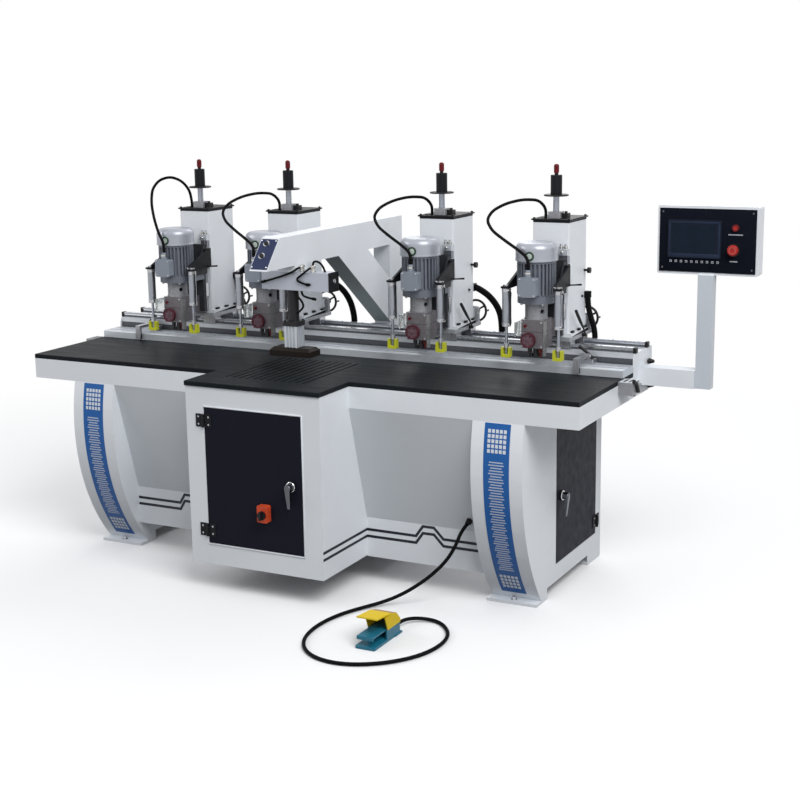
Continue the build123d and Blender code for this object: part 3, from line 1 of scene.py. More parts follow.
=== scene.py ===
import bpy
import bmesh
from math import atan2, cos, hypot, pi, radians, sin
from mathutils import Matrix, Vector


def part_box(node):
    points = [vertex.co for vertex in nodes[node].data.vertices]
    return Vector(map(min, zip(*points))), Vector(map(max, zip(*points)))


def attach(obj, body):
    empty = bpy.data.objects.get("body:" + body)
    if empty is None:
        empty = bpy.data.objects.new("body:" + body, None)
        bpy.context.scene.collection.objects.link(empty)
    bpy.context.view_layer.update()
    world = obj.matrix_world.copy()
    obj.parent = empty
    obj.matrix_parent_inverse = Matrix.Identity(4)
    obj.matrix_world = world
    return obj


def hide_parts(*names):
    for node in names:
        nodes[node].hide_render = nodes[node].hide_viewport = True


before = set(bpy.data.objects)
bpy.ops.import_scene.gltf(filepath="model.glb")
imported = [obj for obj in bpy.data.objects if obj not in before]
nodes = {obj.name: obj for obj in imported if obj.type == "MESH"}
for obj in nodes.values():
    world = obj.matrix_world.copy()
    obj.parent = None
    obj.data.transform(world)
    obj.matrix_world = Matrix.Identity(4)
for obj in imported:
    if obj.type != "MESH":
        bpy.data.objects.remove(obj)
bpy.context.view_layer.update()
scene = bpy.context.scene
scene.view_settings.view_transform = "Standard"
mm = 0.001
print("frame loaded:", len(nodes), "nodes")

# Camera at the photograph's angle
cameraSettings = {
    "place": (3.0597, -5.3867, 1.9884),
    "yaw": 27.343,
    "pitch": 12.188,
    "roll": -0.861,
    "focalPixels": 1483.4,
    "imageWidth": 800,
    "sensor": 36.0,
}


def addCamera(s):
    yaw, pitch, roll = (radians(s[k]) for k in ("yaw", "pitch", "roll"))
    forward = Vector((-sin(yaw) * cos(pitch), cos(yaw) * cos(pitch), -sin(pitch)))
    level = Vector((cos(yaw), sin(yaw), 0))
    upright = level.cross(forward)
    right = level * cos(roll) + upright * sin(roll)
    up = upright * cos(roll) - level * sin(roll)
    data = bpy.data.cameras.new("photoCamera")
    data.sensor_width = s["sensor"]
    data.lens = s["focalPixels"] * s["sensor"] / s["imageWidth"]
    camera = bpy.data.objects.new("photoCamera", data)
    turn = Matrix((right, up, -forward)).transposed().to_4x4()
    camera.matrix_world = Matrix.Translation(s["place"]) @ turn
    scene.collection.objects.link(camera)
    scene.camera = camera


addCamera(cameraSettings)


# Small node helpers for the finishes
def feed(node, inputs):
    # another node's output is linked, a plain value is set
    for key, value in inputs.items():
        if isinstance(value, bpy.types.NodeSocket):
            node.id_data.links.new(value, node.inputs[key])
        else:
            node.inputs[key].default_value = value


def addNode(tree, kind, inputs=None, **settings):
    node = tree.nodes.new("ShaderNode" + kind)
    for key, value in settings.items():
        setattr(node, key, value)
    feed(node, inputs or {})
    return node


def objectSpace(tree, stretch=(1, 1, 1)):
    place = addNode(tree, "TexCoord").outputs["Object"]
    inputs = {"Vector": place, "Scale": stretch}
    return addNode(tree, "Mapping", inputs).outputs["Vector"]


def newFinish(name):
    finish = bpy.data.materials.new(name)
    finish.use_nodes = True
    return finish, objectSpace(finish.node_tree)


# The helpers below add to the tree of the socket they are given
def noise(space, scale, detail=3.0, rough=0.5):
    inputs = {"Vector": space, "Scale": scale, "Detail": detail, "Roughness": rough}
    return addNode(space.id_data, "TexNoise", inputs).outputs["Fac"]


def spread(source, low, high, fromLow=0.3, fromHigh=0.7, **settings):
    inputs = {0: source, 1: fromLow, 2: fromHigh, 3: low, 4: high}
    return addNode(source.id_data, "MapRange", inputs, **settings).outputs[0]


def tint(source, dark, light, start=0.3, end=0.7):
    node = addNode(source.id_data, "ValToRGB", {"Fac": source})
    for stop, place, colour in zip(node.color_ramp.elements, (start, end), (dark, light)):
        stop.position = place
        stop.color = (*colour, 1)
    return node.outputs["Color"]


def edgeMask(radius, source):
    # 1 along worn edges, broken up by the given noise
    tree = source.id_data
    soft = addNode(tree, "Bevel", {"Radius": radius}, samples=4).outputs["Normal"]
    flat = addNode(tree, "NewGeometry").outputs["Normal"]
    dot = addNode(tree, "VectorMath", {0: soft, 1: flat}, operation="DOT_PRODUCT")
    edge = spread(dot.outputs["Value"], 1.0, 0.0, 0.80, 0.985)
    broken = spread(source, 0.0, 1.0, 0.42, 0.62)
    both = addNode(tree, "Math", {0: edge, 1: broken}, operation="MULTIPLY")
    return both.outputs["Value"]


def mixColours(factor, first, second):
    inputs = {"Factor": factor, 6: first, 7: (*second, 1)}
    return addNode(factor.id_data, "Mix", inputs, data_type="RGBA").outputs[2]


def bump(source, strength, depth):
    inputs = {"Height": source, "Strength": strength, "Distance": depth}
    return addNode(source.id_data, "Bump", inputs).outputs["Normal"]


def mixShaders(factor, first, second):
    inputs = {"Fac": factor, 1: first.outputs[0], 2: second.outputs[0]}
    return addNode(factor.id_data, "MixShader", inputs)


def shade(colour, share):
    return tuple(min(1.0, c * share) for c in colour)


def dress(finish, colour, roughness, normal, metal=0.0, gloss=0.5):
    inputs = {"Base Color": colour, "Roughness": roughness, "Normal": normal}
    inputs.update({"Metallic": metal, "Specular IOR Level": gloss})
    feed(finish.node_tree.nodes["Principled BSDF"], inputs)
    return finish


# Sprayed and baked paint: orange peel, a little unevenness in tone, worn edges
def sprayed(name, colour, rough, worn, peel=520, depth=0.0004, metal=0.0, gloss=0.5):
    finish, space = newFinish(name)
    base = tint(noise(space, 2.6, 5.0, 0.6), shade(colour, 0.955), shade(colour, 1.02))
    base = mixColours(edgeMask(0.0016, noise(space, 85, 4.0, 0.7)), base, worn)
    roughness = spread(noise(space, 24, 4.0), rough - 0.06, rough + 0.07)
    return dress(finish, base, roughness, bump(noise(space, peel, 2.0), 0.18, depth), metal, gloss)


# Machined or drawn metal: fine lines along one axis
def drawn(name, colour, rough, along="x", metal=1.0, lines=900, depth=0.00015):
    finish, space = newFinish(name)
    stretch = [0.02 if axis == along else 1 for axis in "xyz"]
    streaks = noise(objectSpace(finish.node_tree, stretch), lines, 4.0, 0.65)
    base = tint(streaks, shade(colour, 0.84), shade(colour, 1.06), 0.25, 0.75)
    clouds = spread(noise(space, 9, 4.0, 0.6), 0.0, 0.30, 0.45, 0.75)
    base = mixColours(clouds, base, shade(colour, 0.74))
    roughness = spread(streaks, rough - 0.08, rough + 0.10)
    return dress(finish, base, roughness, bump(streaks, 0.25, depth), metal)


# Cast iron or alloy under thin paint: coarse skin with darker pits
def cast(name, colour, rough, metal=0.35, grain=170, depth=0.0009, gloss=0.4):
    finish, space = newFinish(name)
    skin = noise(space, grain, 5.0, 0.62)
    base = tint(skin, shade(colour, 0.78), shade(colour, 1.05), 0.32, 0.62)
    edges = edgeMask(0.0012, noise(space, 120, 3.0, 0.7))
    base = mixColours(edges, base, shade(colour, 1.5))
    roughness = spread(noise(space, 40), rough - 0.08, rough + 0.1)
    return dress(finish, base, roughness, bump(skin, 0.3, depth), metal, gloss)


# Moulded plastic or rubber: fine pitted grain and handling marks
def moulded(name, colour, rough, grain=1400, depth=0.00025, gloss=0.35, scuff=1.5):
    finish, space = newFinish(name)
    pits = addNode(space.id_data, "TexVoronoi", {"Vector": space, "Scale": grain})
    marks = noise(space, 34, 6.0, 0.7)
    base = tint(marks, shade(colour, 0.86), shade(colour, 1.08))
    base = mixColours(edgeMask(0.0010, marks), base, shade(colour, scuff))
    roughness = spread(marks, rough - 0.07, rough + 0.1)
    return dress(finish, base, roughness, bump(pits.outputs["Distance"], 0.16, depth), gloss=gloss)


# Table board: black laminate with a fine leather-like texture and faint rubbing from the work
def laminate(name, colour, rough):
    finish, space = newFinish(name)
    tree = finish.node_tree
    inputs = {"Vector": space, "Scale": 620.0}
    cells = addNode(tree, "TexVoronoi", inputs, feature="SMOOTH_F1")
    rubs = noise(objectSpace(tree, (0.12, 1, 1)), 26, 6.0, 0.7)
    base = tint(rubs, shade(colour, 0.88), shade(colour, 1.30), 0.35, 0.75)
    edges = edgeMask(0.0020, noise(space, 60, 4.0, 0.7))
    base = mixColours(edges, base, shade(colour, 2.6))
    roughness = spread(rubs, rough - 0.06, rough + 0.08)
    grain = bump(cells.outputs["Distance"], 0.22, 0.00035)
    return dress(finish, base, roughness, grain, gloss=0.03)


# Clear sheet for the chip guards
def clearSheet(name, colour, rough):
    finish, space = newFinish(name)
    dust = noise(space, 70, 5.0, 0.7)
    feed(finish.node_tree.nodes["Principled BSDF"], {
        "Base Color": tint(dust, shade(colour, 0.94), colour),
        "Roughness": spread(dust, rough, rough + 0.16),
        "Transmission Weight": 0.85,
        "IOR": 1.49,
    })
    return finish


finishes = {
    "white": sprayed("whitePaint", (0.77, 0.8, 0.84), 0.4, (0.6, 0.61, 0.62)),
    "door": sprayed("blackDoorPaint", (0.0088, 0.0098, 0.0172), 0.46, (0.05, 0.05, 0.055),
        peel=700, gloss=0.06),
    "board": laminate("blackBoard", (0.0125, 0.0145, 0.017), 0.44),
    # the knee panels wear the frame's white made darker: painted shade
    "kneePaintedShade": sprayed("kneePanelPaintedShade", (0.62, 0.655, 0.69), 0.42, (0.52, 0.53, 0.54)),
    "profile": drawn("drawnAluminium", (0.6, 0.635, 0.68), 0.4, "x", metal=0.45),
    "rail": drawn("groundRailSteel", (0.74, 0.76, 0.79), 0.22, "x", lines=1400),
    "beam": drawn("machinedBeam", (0.68, 0.7, 0.74), 0.34, "x", metal=0.35, lines=700),
    # near-black for the beam's front wall in the gap behind the fence and for the rails' grooves:
    # painted shade
    "wall": cast("beamRecessPaintedShade", (0.1, 0.105, 0.12), 0.5),
    "steel": drawn("turnedSteel", (0.5, 0.51, 0.54), 0.3, "z", metal=0.9),
    "barrel": drawn("cylinderBarrel", (0.34, 0.36, 0.4), 0.3, "z", metal=0.85),
    "chrome": drawn("chromePlate", (0.7, 0.71, 0.73), 0.13, "none", lines=300, depth=0.00005),
    "casting": cast("greyCasting", (0.3, 0.305, 0.325), 0.48),
    "caseGrey": cast("gearCaseCasting", (0.165, 0.152, 0.166), 0.46, metal=0.25),
    "slideGrey": cast("slidePlate", (0.036, 0.038, 0.044), 0.5, metal=0.1, grain=260, gloss=0.2),
    "rodSteel": drawn("throughRodSteel", (0.34, 0.36, 0.41), 0.26, "z", metal=0.8),
    # the rails' front faces in a darker copy of the rail steel: painted shade
    "railFacePaintedShade": drawn("railFlankPaintedShade", (0.4, 0.42, 0.47), 0.3, "x", metal=0.6, lines=1100),
    "saddleGrey": cast("saddleCasting", (0.4, 0.415, 0.44), 0.45),
    "motorGrey": sprayed("motorPaint", (0.15, 0.165, 0.2), 0.42, (0.3, 0.31, 0.34),
        metal=0.2, gloss=0.3),
    "boxGrey": sprayed("terminalBoxPaint", (0.25, 0.28, 0.33), 0.38, (0.4, 0.42, 0.46),
        metal=0.1, gloss=0.3),
    "cowl": sprayed("cowlSilver", (0.4, 0.42, 0.47), 0.36, (0.48, 0.49, 0.52),
        depth=0.0001, metal=0.4),
    "blackPaint": sprayed("blackBracketPaint", (0.01, 0.0105, 0.013), 0.46, (0.05, 0.05, 0.055),
        gloss=0.12),
    "blackCast": cast("blackCasting", (0.012, 0.012, 0.014), 0.46, metal=0.1, gloss=0.3),
    "rubber": moulded("blackRubber", (0.0042, 0.0042, 0.0048), 0.6, grain=900, gloss=0.06),
    "leverSteel": drawn("leverSteel", (0.115, 0.12, 0.135), 0.24, "z", lines=300, depth=0.00008),
    "plastic": moulded("blackPlastic", (0.0065, 0.0065, 0.0075), 0.42, gloss=0.25),
    "red": moulded("redPlastic", (0.38, 0.02, 0.018), 0.36, gloss=0.25, scuff=1.2),
    "knobRed": moulded("knobRed", (0.115, 0.004, 0.007), 0.34, gloss=0.2, scuff=1.3),
    "redShade": moulded("redPlasticShade", (0.11, 0.012, 0.014), 0.4, gloss=0.15),
    # paler red for the stop button's raised ring: painted highlight
    "redPale": moulded("redPlasticPaintedHighlight", (0.5, 0.085, 0.075), 0.36, gloss=0.25),
    "switchRed": moulded("switchPlate", (0.6, 0.07, 0.022), 0.36, scuff=1.2, gloss=0.3),
    "capRed": cast("inspectionCap", (0.085, 0.013, 0.024), 0.42, metal=0.2),
    "capFace": cast("inspectionCapFace", (0.15, 0.082, 0.105), 0.44, metal=0.25),
    "yellow": moulded("yellowPolyurethane", (0.58, 0.6, 0.03), 0.32, scuff=1.25),
    "hood": sprayed("pedalHood", (0.8, 0.57, 0.01), 0.36, (0.46, 0.3, 0.02), peel=380, gloss=0.15),
    "pedalBlue": sprayed("pedalEnamel", (0.01, 0.15, 0.235), 0.38, (0.08, 0.24, 0.32),
        peel=340, depth=0.0007),
    # the inside of the yellow hood in a darker, browner yellow: painted shade
    "hoodInsidePaintedShade": sprayed("hoodInsidePaintedShade", (0.46, 0.26, 0.1), 0.5, (0.55, 0.32, 0.12), peel=300),
    "plateBlue": sprayed("buttonPlate", (0.012, 0.022, 0.075), 0.36, (0.08, 0.1, 0.18), gloss=0.3),
    "armGrey": sprayed("crossBoxGrey", (0.49, 0.52, 0.59), 0.42, (0.52, 0.53, 0.56), metal=0.2),
    # the brace's faces under the arm in a dull grey-green: painted shade on white paint
    "bracePaintedShade": sprayed("braceUndersidePaintedShade", (0.3, 0.34, 0.34), 0.46, (0.45, 0.47, 0.47), gloss=0.2),
    # the panel's post and tube in a greyer copy of the white paint: painted shade
    "postPaintedShade": sprayed("panelPostPaintedShade", (0.56, 0.6, 0.65), 0.42, (0.55, 0.56, 0.57)),
    "tool": drawn("toolSteel", (0.05, 0.05, 0.055), 0.36, "z", metal=0.7),
    "redTool": sprayed("redToolCoat", (0.24, 0.018, 0.016), 0.42, (0.25, 0.23, 0.23)),
    "pad": moulded("pressPad", (0.011, 0.008, 0.0065), 0.52, grain=420, depth=0.0007, gloss=0.12),
    "facePlate": moulded("panelFace", (0.0085, 0.01, 0.0165), 0.45, gloss=0.0),
    "bezel": moulded("screenBezel", (0.015, 0.0195, 0.032), 0.4, gloss=0.02),
    "screen": moulded("screenGlass", (0.011, 0.018, 0.031), 0.2,
        grain=200, depth=0.00002, gloss=0.03),
    "slate": moulded("bezelLip", (0.022, 0.032, 0.058), 0.4, gloss=0.05),
    "stripBlue": sprayed("legStripBlue", (0.01, 0.105, 0.36), 0.36, (0.1, 0.18, 0.36), gloss=0.3),
    "stripWhite": sprayed("legStripWhite", (0.66, 0.7, 0.75), 0.42, (0.5, 0.5, 0.52)),
    "stripSilver": sprayed("legStripSilver", (0.42, 0.47, 0.57), 0.42, (0.4, 0.4, 0.42), metal=0.2),
    "lineBlack": sprayed("stripeBlack", (0.01, 0.012, 0.02), 0.42, (0.05, 0.05, 0.06), gloss=0.3),
    "clear": clearSheet("clearGuard", (0.9, 0.94, 0.94), 0.12),
    "brass": drawn("nickelBrass", (0.62, 0.61, 0.58), 0.22, "none", lines=240, depth=0.00005),
    "legend": sprayed("legendGrey", (0.36, 0.38, 0.42), 0.5, (0.3, 0.3, 0.3)),
    "badge": sprayed("badgeFace", (0.52, 0.6, 0.55), 0.36, (0.4, 0.42, 0.4)),
    "badgeRing": sprayed("badgeRing", (0.03, 0.062, 0.036), 0.4, (0.12, 0.16, 0.12), gloss=0.2),
}
print("finishes made:", len(finishes))


# Mesh helpers, all in millimetres of the machine's frame
def point(x, y, z):
    return Vector((x, y, z)) * mm


def markNew(bm, finish):
    marked = bm.faces.layers.int.get("marked") or bm.faces.layers.int.new("marked")
    for face in bm.faces:
        if not face[marked]:
            face[marked] = 1
            face.material_index = finish


def boxInto(bm, low, high, rounding=0.0, finish=0, turn=None):
    middle = (Vector(low) + Vector(high)) / 2
    size = Vector(high) - Vector(low)
    verts = bmesh.ops.create_cube(bm, size=1.0)["verts"]
    for v in verts:
        local = Vector((v.co.x * size.x, v.co.y * size.y, v.co.z * size.z))
        v.co = ((turn @ local if turn else local) + middle) * mm
    if rounding:
        edges = list({e for v in verts for e in v.link_edges})
        bmesh.ops.bevel(bm, geom=edges, offset=rounding * mm, segments=2, profile=0.5,
                        affect="EDGES")
    markNew(bm, finish)


def skinInto(bm, rows, finish, capped=False):
    # faces between closed rows of points, where a row of one point is a tip
    for low, high in zip(rows, rows[1:]):
        count = max(len(low), len(high))
        for i in range(count):
            j = (i + 1) % count
            turns = ((low, i), (low, j), (high, j), (high, i))
            corners = list(dict.fromkeys(row[k % len(row)] for row, k in turns))
            if len(corners) > 2:
                bm.faces.new(corners)
    if capped:
        bm.faces.new(rows[0][::-1])
        bm.faces.new(rows[-1])
    markNew(bm, finish)


def latheInto(bm, place, axis, rings, finish=0, segments=24):
    # rings hold a radius and a height, and a third value of 6 makes that ring a hexagon
    turn = Vector((0, 0, 1)).rotation_difference(Vector(axis))
    rows = []
    for ring in rings:
        radius, height = ring[0], ring[1]
        count = 1 if radius == 0 else segments
        row = []
        for i in range(count):
            a = 2 * pi * i / count
            r = radius
            if len(ring) > 2:
                r = radius * cos(pi / 6) / cos((a + pi / 6) % (pi / 3) - pi / 6)
            local = Vector((r * cos(a), r * sin(a), height))
            row.append(bm.verts.new((turn @ local + Vector(place)) * mm))
        rows.append(row)
    skinInto(bm, rows, finish)


def screwInto(bm, place, axis, r, height, finish=0):
    head = [(0, -0.5), (r, -0.5), (r, height * 0.82), (r * 0.88, height), (r * 0.58, height, 6)]
    head += [(r * 0.56, height * 0.45, 6), (0, height * 0.40)]
    latheInto(bm, place, axis, head, finish, 18)


def boltInto(bm, place, axis, r, height, finish=0):
    washer = [(0, -0.3), (r * 1.35, -0.3), (r * 1.35, 1.2), (r * 1.05, 1.6)]
    head = [(r, 1.6, 6), (r, height * 0.9, 6), (r * 0.86, height), (0, height)]
    latheInto(bm, place, axis, washer + head, finish, 24)


def sweepInto(bm, path, radiusAt, finish=0, segments=14):
    # path in metres, radiusAt(distance along it) in millimetres
    rows = []
    distance = 0.0
    normal = None
    for i, here in enumerate(path):
        ahead = path[min(i + 1, len(path) - 1)] - path[max(i - 1, 0)]
        ahead.normalize()
        if normal is None:
            normal = ahead.orthogonal().normalized()
        normal = (normal - ahead * normal.dot(ahead)).normalized()
        side = ahead.cross(normal)
        if i:
            distance += (here - path[i - 1]).length / mm
        r = radiusAt(distance) * mm
        ring = [2 * pi * k / segments for k in range(segments)]
        rows.append([bm.verts.new(here + normal * r * cos(a) + side * r * sin(a)) for a in ring])
    skinInto(bm, rows, finish, True)


def plateInto(bm, corners, thick, finish=0):
    # a thin plate: its face corners in millimetres, thickened along thick
    low = [bm.verts.new(Vector(c) * mm) for c in corners]
    high = [bm.verts.new((Vector(c) + Vector(thick)) * mm) for c in corners]
    skinInto(bm, [low, high], finish, True)


def addPiece(name, bm, looks, body, sharp=38):
    bmesh.ops.recalc_face_normals(bm, faces=bm.faces)
    for face in bm.faces:
        face.smooth = True
    for edge in bm.edges:
        if len(edge.link_faces) == 2:
            edge.smooth = edge.calc_face_angle(0) < radians(sharp)
    bm.faces.layers.int.remove(bm.faces.layers.int["marked"])
    mesh = bpy.data.meshes.new(name)
    bm.to_mesh(mesh)
    bm.free()
    for look in looks:
        mesh.materials.append(finishes[look])
    piece = bpy.data.objects.new(name, mesh)
    scene.collection.objects.link(piece)
    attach(piece, body)


def smoothRoute(name, points, radius=0.0, steps=12):
    # one NURBS line with the given control points, in metres
    curve = bpy.data.curves.new(name, "CURVE")
    curve.dimensions = "3D"
    curve.resolution_u = steps
    spline = curve.splines.new("NURBS")
    spline.points.add(len(points) - 1)
    for knot, place in zip(spline.points, points):
        knot.co = (*place, 1)
    spline.order_u = 3
    spline.use_endpoint_u = True
    curve.bevel_depth = radius
    curve.bevel_resolution = 5
    curve.use_fill_caps = radius > 0
    return curve


def pathAlong(places, steps=12):
    # points read from the NURBS line of places given in millimetres
    curve = smoothRoute("route", [point(*p) for p in places], steps=steps)
    holder = bpy.data.objects.new("route", curve)
    line = bpy.data.meshes.new_from_object(holder)
    path = [v.co.copy() for v in line.vertices]
    bpy.data.objects.remove(holder)
    bpy.data.curves.remove(curve)
    bpy.data.meshes.remove(line)
    return path


up, down, front, back, right = (0, 0, 1), (0, 0, -1), (0, -1, 0), (0, 1, 0), (1, 0, 0)


def shifted(place, x):
    return (place[0] + x, place[1], place[2])


def trimInto(bm, s, x=0.0):
    # a piece's rows, moved by x along the machine: places first, then the helper's other values
    for low, high, *rest in s.get("boxes", ()):
        boxInto(bm, shifted(low, x), shifted(high, x), *rest)
    for kind, headInto in (("screws", screwInto), ("bolts", boltInto)):
        for places, *rest in s.get(kind, ()):
            for place in places:
                headInto(bm, shifted(place, x), *rest)
    for place, *rest in s.get("turned", ()):
        latheInto(bm, shifted(place, x), *rest)
    for places, *rest in s.get("tubes", ()):
        sweepInto(bm, pathAlong([shifted(p, x) for p in places]), *rest)
    for places, *rest in s.get("rods", ()):
        sweepInto(bm, [point(*shifted(p, x)) for p in places], *rest)
    for corners, *rest in s.get("plates", ()):
        plateInto(bm, [shifted(c, x) for c in corners], *rest)
    for places, radiusAt, tip in s.get("levers", ()):
        path = pathAlong([shifted(p, x) for p in places])
        sweepInto(bm, path, radiusAt)
        latheInto(bm, path[-1] / mm, path[-1] - path[-3], tip)


def addTrim(name, s, body, x=0.0):
    bm = bmesh.new()
    trimInto(bm, s, x)
    addPiece(name, bm, s["looks"], body)


# Pedal cord: out of the base, down to the floor, round the pedal and into its back
pedalCord = {
    "radius": 0.007,
    "length": 2.10,
    "exit": (0.762, -0.39806, 0.30887),
    "front": -490,
    "drop": [
        (762, 36.0, 293.6), (752, 14, 246), (716, 8, 183), (668, -18, 128), (610, -45, 80),
        (548, -72, 40), (490, -108, 16),
    ],
    "floorZ": 7.75,
    "floor": [
        (440, -168), (403, -250), (381, -345), (379, -445), (400, -545), (455, -635), (540, -690),
        (640, -697), (735, -655), (815, -580), (865, -485), (880, -380), (862, -285), (812, -215),
    ],
    "rise": [(760, -179, 8.25), (706, -188, 13), (672, -226, 20), (660, -273, 24), (660, -303, 24)],
}


def addPedalCord(s):
    floor = [(x, y, s["floorZ"]) for x, y in s["floor"]]
    route = [point(x, s["front"] + y, z) for x, y, z in s["drop"] + floor + s["rise"]]
    curve = smoothRoute("pedalCord", [s["exit"]] + route, s["radius"])
    curve.materials.append(finishes["rubber"])
    piece = bpy.data.objects.new("pedalCord", curve)
    scene.collection.objects.link(piece)
    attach(piece, "base")
    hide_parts("pedal_cord")


addPedalCord(pedalCord)
print("camera and cord in place")


# Finishes on the carried-over parts: a base finish, then zones given as boxes in millimetres;
# the last zone that holds the middle of a face wins
def paint(nodeName, base, zones=(), shift=0.0):
    mesh = nodes[nodeName].data
    mesh.materials.clear()
    for look in [base] + [zone[0] for zone in zones]:
        mesh.materials.append(finishes[look])
    for face in mesh.polygons:
        spot = face.center / mm
        spot.x -= shift
        face.material_index = 0
        for i, (_, xs, ys, zs) in enumerate(zones, 1):
            if (xs[0] <= spot.x <= xs[1] and ys[0] <= spot.y <= ys[1]
                    and zs[0] <= spot.z <= zs[1]):
                face.material_index = i


def mirrored(look, xs, ys, zs):
    # the same zone on both sides of the middle
    return [(look, xs, ys, zs), (look, (-xs[1], -xs[0]), ys, zs)]


anyX = anyY = anyZ = (-9999, 9999)
cutterBoxes = [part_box(f"hinge_cutter_{n}") for n in (1, 2, 3, 4)]
headX = [(low.x + high.x) / 2 / mm for low, high in cutterBoxes]
railYs = (142, 288)

plainLooks = {
    "leverSteel": ("center_door_handle", "side_door_handle"),
    "plastic": ("main_switch_knob", "arm_button_low", "arm_button_high"),
    "board": ("table_top",),
    "red": ("stop_button",),
    "pedalBlue": ("pedal_treadle",),
}
for look, names in plainLooks.items():
    for name in names:
        paint(name, look)
paint("base_frame", "white", [
    # knee panels: darker white as painted shade
    *mirrored("kneePaintedShade", (305, 829), (-489, -360), (272, 748)),
    *[("blackPaint", (-262, -205), (-731, -715.2), (z, z + 58)) for z in (224, 668)],
    *[("blackPaint", (1038.2, 1060), (270, 340), (z, z + 60)) for z in (140, 620)],
    ("plastic", (744, 781), (-414, -362), (286, 340)),
    ("steel", (1018, 1035.5), (-186, -163.5), (368, 402)),
])
paint("center_door", "door", [
    ("switchRed", (18, 84), (-744, -716.4), (312, 392)),
    ("plastic", (148, 194), (-726, -716.4), (446, 502)),
    ("blackPaint", (-262, -180), (-731, -716.4), anyZ),
])
paint("side_door", "door", [
    ("plastic", (1039.2, 1050), (-140, -90), (355, 415)),
    ("blackPaint", (1039.2, 1060), (245, 300), anyZ),
])
paint("fence", "profile", [
    *mirrored("casting", (1250.5, 1400), anyY, (700, 849)),
    ("profile", (1250.5, 1400), anyY, (845.8, 849)),
    ("steel", anyX, (40, 125), (880.3, 960)),
])
for side in ("left", "right"):
    paint(f"flip_stop_{side}", "steel", [("rubber", anyX, (-40, -5), (850, 872))])
paint("rail_beam", "beam", [
    # the beam's front wall behind the fence: painted shade of the gap
    ("wall", anyX, (120, 131), (700, 901)),
    *[("rail", anyX, (y - 13, y + 13), (922.2, 945)) for y in railYs],
    # front faces of the rails: painted shade
    *[("railFacePaintedShade", anyX, (y - 11.8, y - 11.2), (922.2, 943.8)) for y in railYs],
    *mirrored("white", (1246.9, 1251), (110, 312), (820, 922.1)),
    ("white", anyX, (310.5, 380), (840, 920)),
    *mirrored("plastic", (1250.2, 1300), anyY, anyZ),
])
for n, x in enumerate(headX, 1):
    paint(f"saddle_{n}", "saddleGrey", [("steel", anyX, anyY, (900, 957))], x)
    paint(f"handwheel_{n}", "blackCast", [("steel", (54, 70), (280, 361), (1000, 1030))], x)
    paint(f"column_{n}", "white", [
        ("steel", (46, 78), (311.2, 330), (990, 1035)),
        ("steel", (-62, 62), (97, 113.6), (980, 1301)),
        ("blackPaint", (-84, 84), (105, 320), (1435.2, 1441.4)),
        ("casting", (-26.5, 26.5), (140, 200), (1441.5, 1470)),
        ("plastic", (26.5, 60), (150, 200), (1441.5, 1475)),
        *mirrored("plastic", (60, 84), (105, 320), (1441.5, 1450)),
        ("barrel", (-33, 33), (136, 204), (1262, 1434.8)),
        ("profile", (38, 82), (82, 113.8), (1301.8, 1327)),
        ("chrome", (38, 82), (82, 113.8), (1327, 1350)),
        ("barrel", (69, 87), (89, 107), (1271, 1301.6)),
        *mirrored("blackPaint", (77.1, 134), (-100, 129), (1185.9, 1268)),
        *mirrored("barrel", (90, 134), (-98, -56), (1030, 1185.8)),
        *mirrored("steel", (90, 140), (-98, -56), (1194.3, 1205)),
        ("plastic", (77.3, 110), (270, 300), (1205, 1240)),
        ("rubber", (77.3, 260), (240, 380), (860, 1150)),
        ("plastic", (40, 77.2), (311.3, 350), (1100, 1140)),
    ], x)
    paint(f"drill_head_{n}", "slideGrey", [
        ("caseGrey", (-47.2, 47.2), (-84, 70.5), (940, 1067)),
        ("casting", (-46, 46), (-82, 12), (1065.5, 1130.8)),
        ("motorGrey", (-76, 76), (-112, 71), (1130.9, 1155.2)),
        ("steel", (-80, 80), (86.3, 112), (1040, 1285)),
        ("steel", (-26.5, 26.5), (86.2, 200), (1190, 1226)),
        ("rodSteel", (-14, 14), (155, 185), (1225.5, 1528.4)),
        ("blackPaint", (-50, 50), (118, 222), (1528.5, 1619.5)),
        ("knobRed", (-12, 12), (155, 185), (1618.5, 1660)),
        ("capRed", (-45, 19), (-100, -82.2), (953, 1021)),
        ("capFace", (-39, 13), (-93.6, -92.4), (961, 1013)),
        ("knobRed", (-34, -20), (-90, -82.2), (1034, 1050)),
        ("clear", (47.2, 51), (-84, -48), (920, 1064)),
    ], x)
    paint(f"motor_{n}", "motorGrey", [
        ("cowl", (-84, 84), (-119, 49), (1294.8, 1370)),
        ("boxGrey", (-34, 46), (-154, -113), (1160, 1242)),
        ("boxGrey", (-9, 13), (-139, -117), (1240.3, 1268)),
    ], x)
    for kind, look in (("motor_cable", "rubber"), ("hinge_cutter", "tool"),
                       ("left_drill", "tool"), ("right_drill", "redTool")):
        paint(f"{kind}_{n}", look)
    paint(f"clamp_feet_{n}", "steel", [
        *mirrored("yellow", (87, 131), (-89, -65), (911, 952.4)),
        *mirrored("rodSteel", (101.5, 116.5), (-84.5, -69.5), (924, 1140)),
    ], x)
paint("press_arm", "white", [
    ("armGrey", (-125, 184.2), (-416, -344), (1181, 1255.2)),
    ("white", (-41, 41), (-430, -330), (1255.4, 1282)),
    # brace faces under the arm: painted shade
    ("bracePaintedShade", (-30, 30), (0, 372), (930, 1281)),
    ("blackPaint", (184.1, 191), (-418, -342), (1178, 1260)),
    ("blackCast", (-23, 23), (-403, -357), (1055.2, 1181.8)),
    ("blackCast", (-33, 33), (-413, -347), (1036.1, 1055.4)),
    ("profile", (-29.5, 29.5), (-409.5, -350.5), (949, 1035.9)),
])
paint("press_ram", "pad", [("steel", (-17, 17), (-397, -363), (949.9, 1040))])
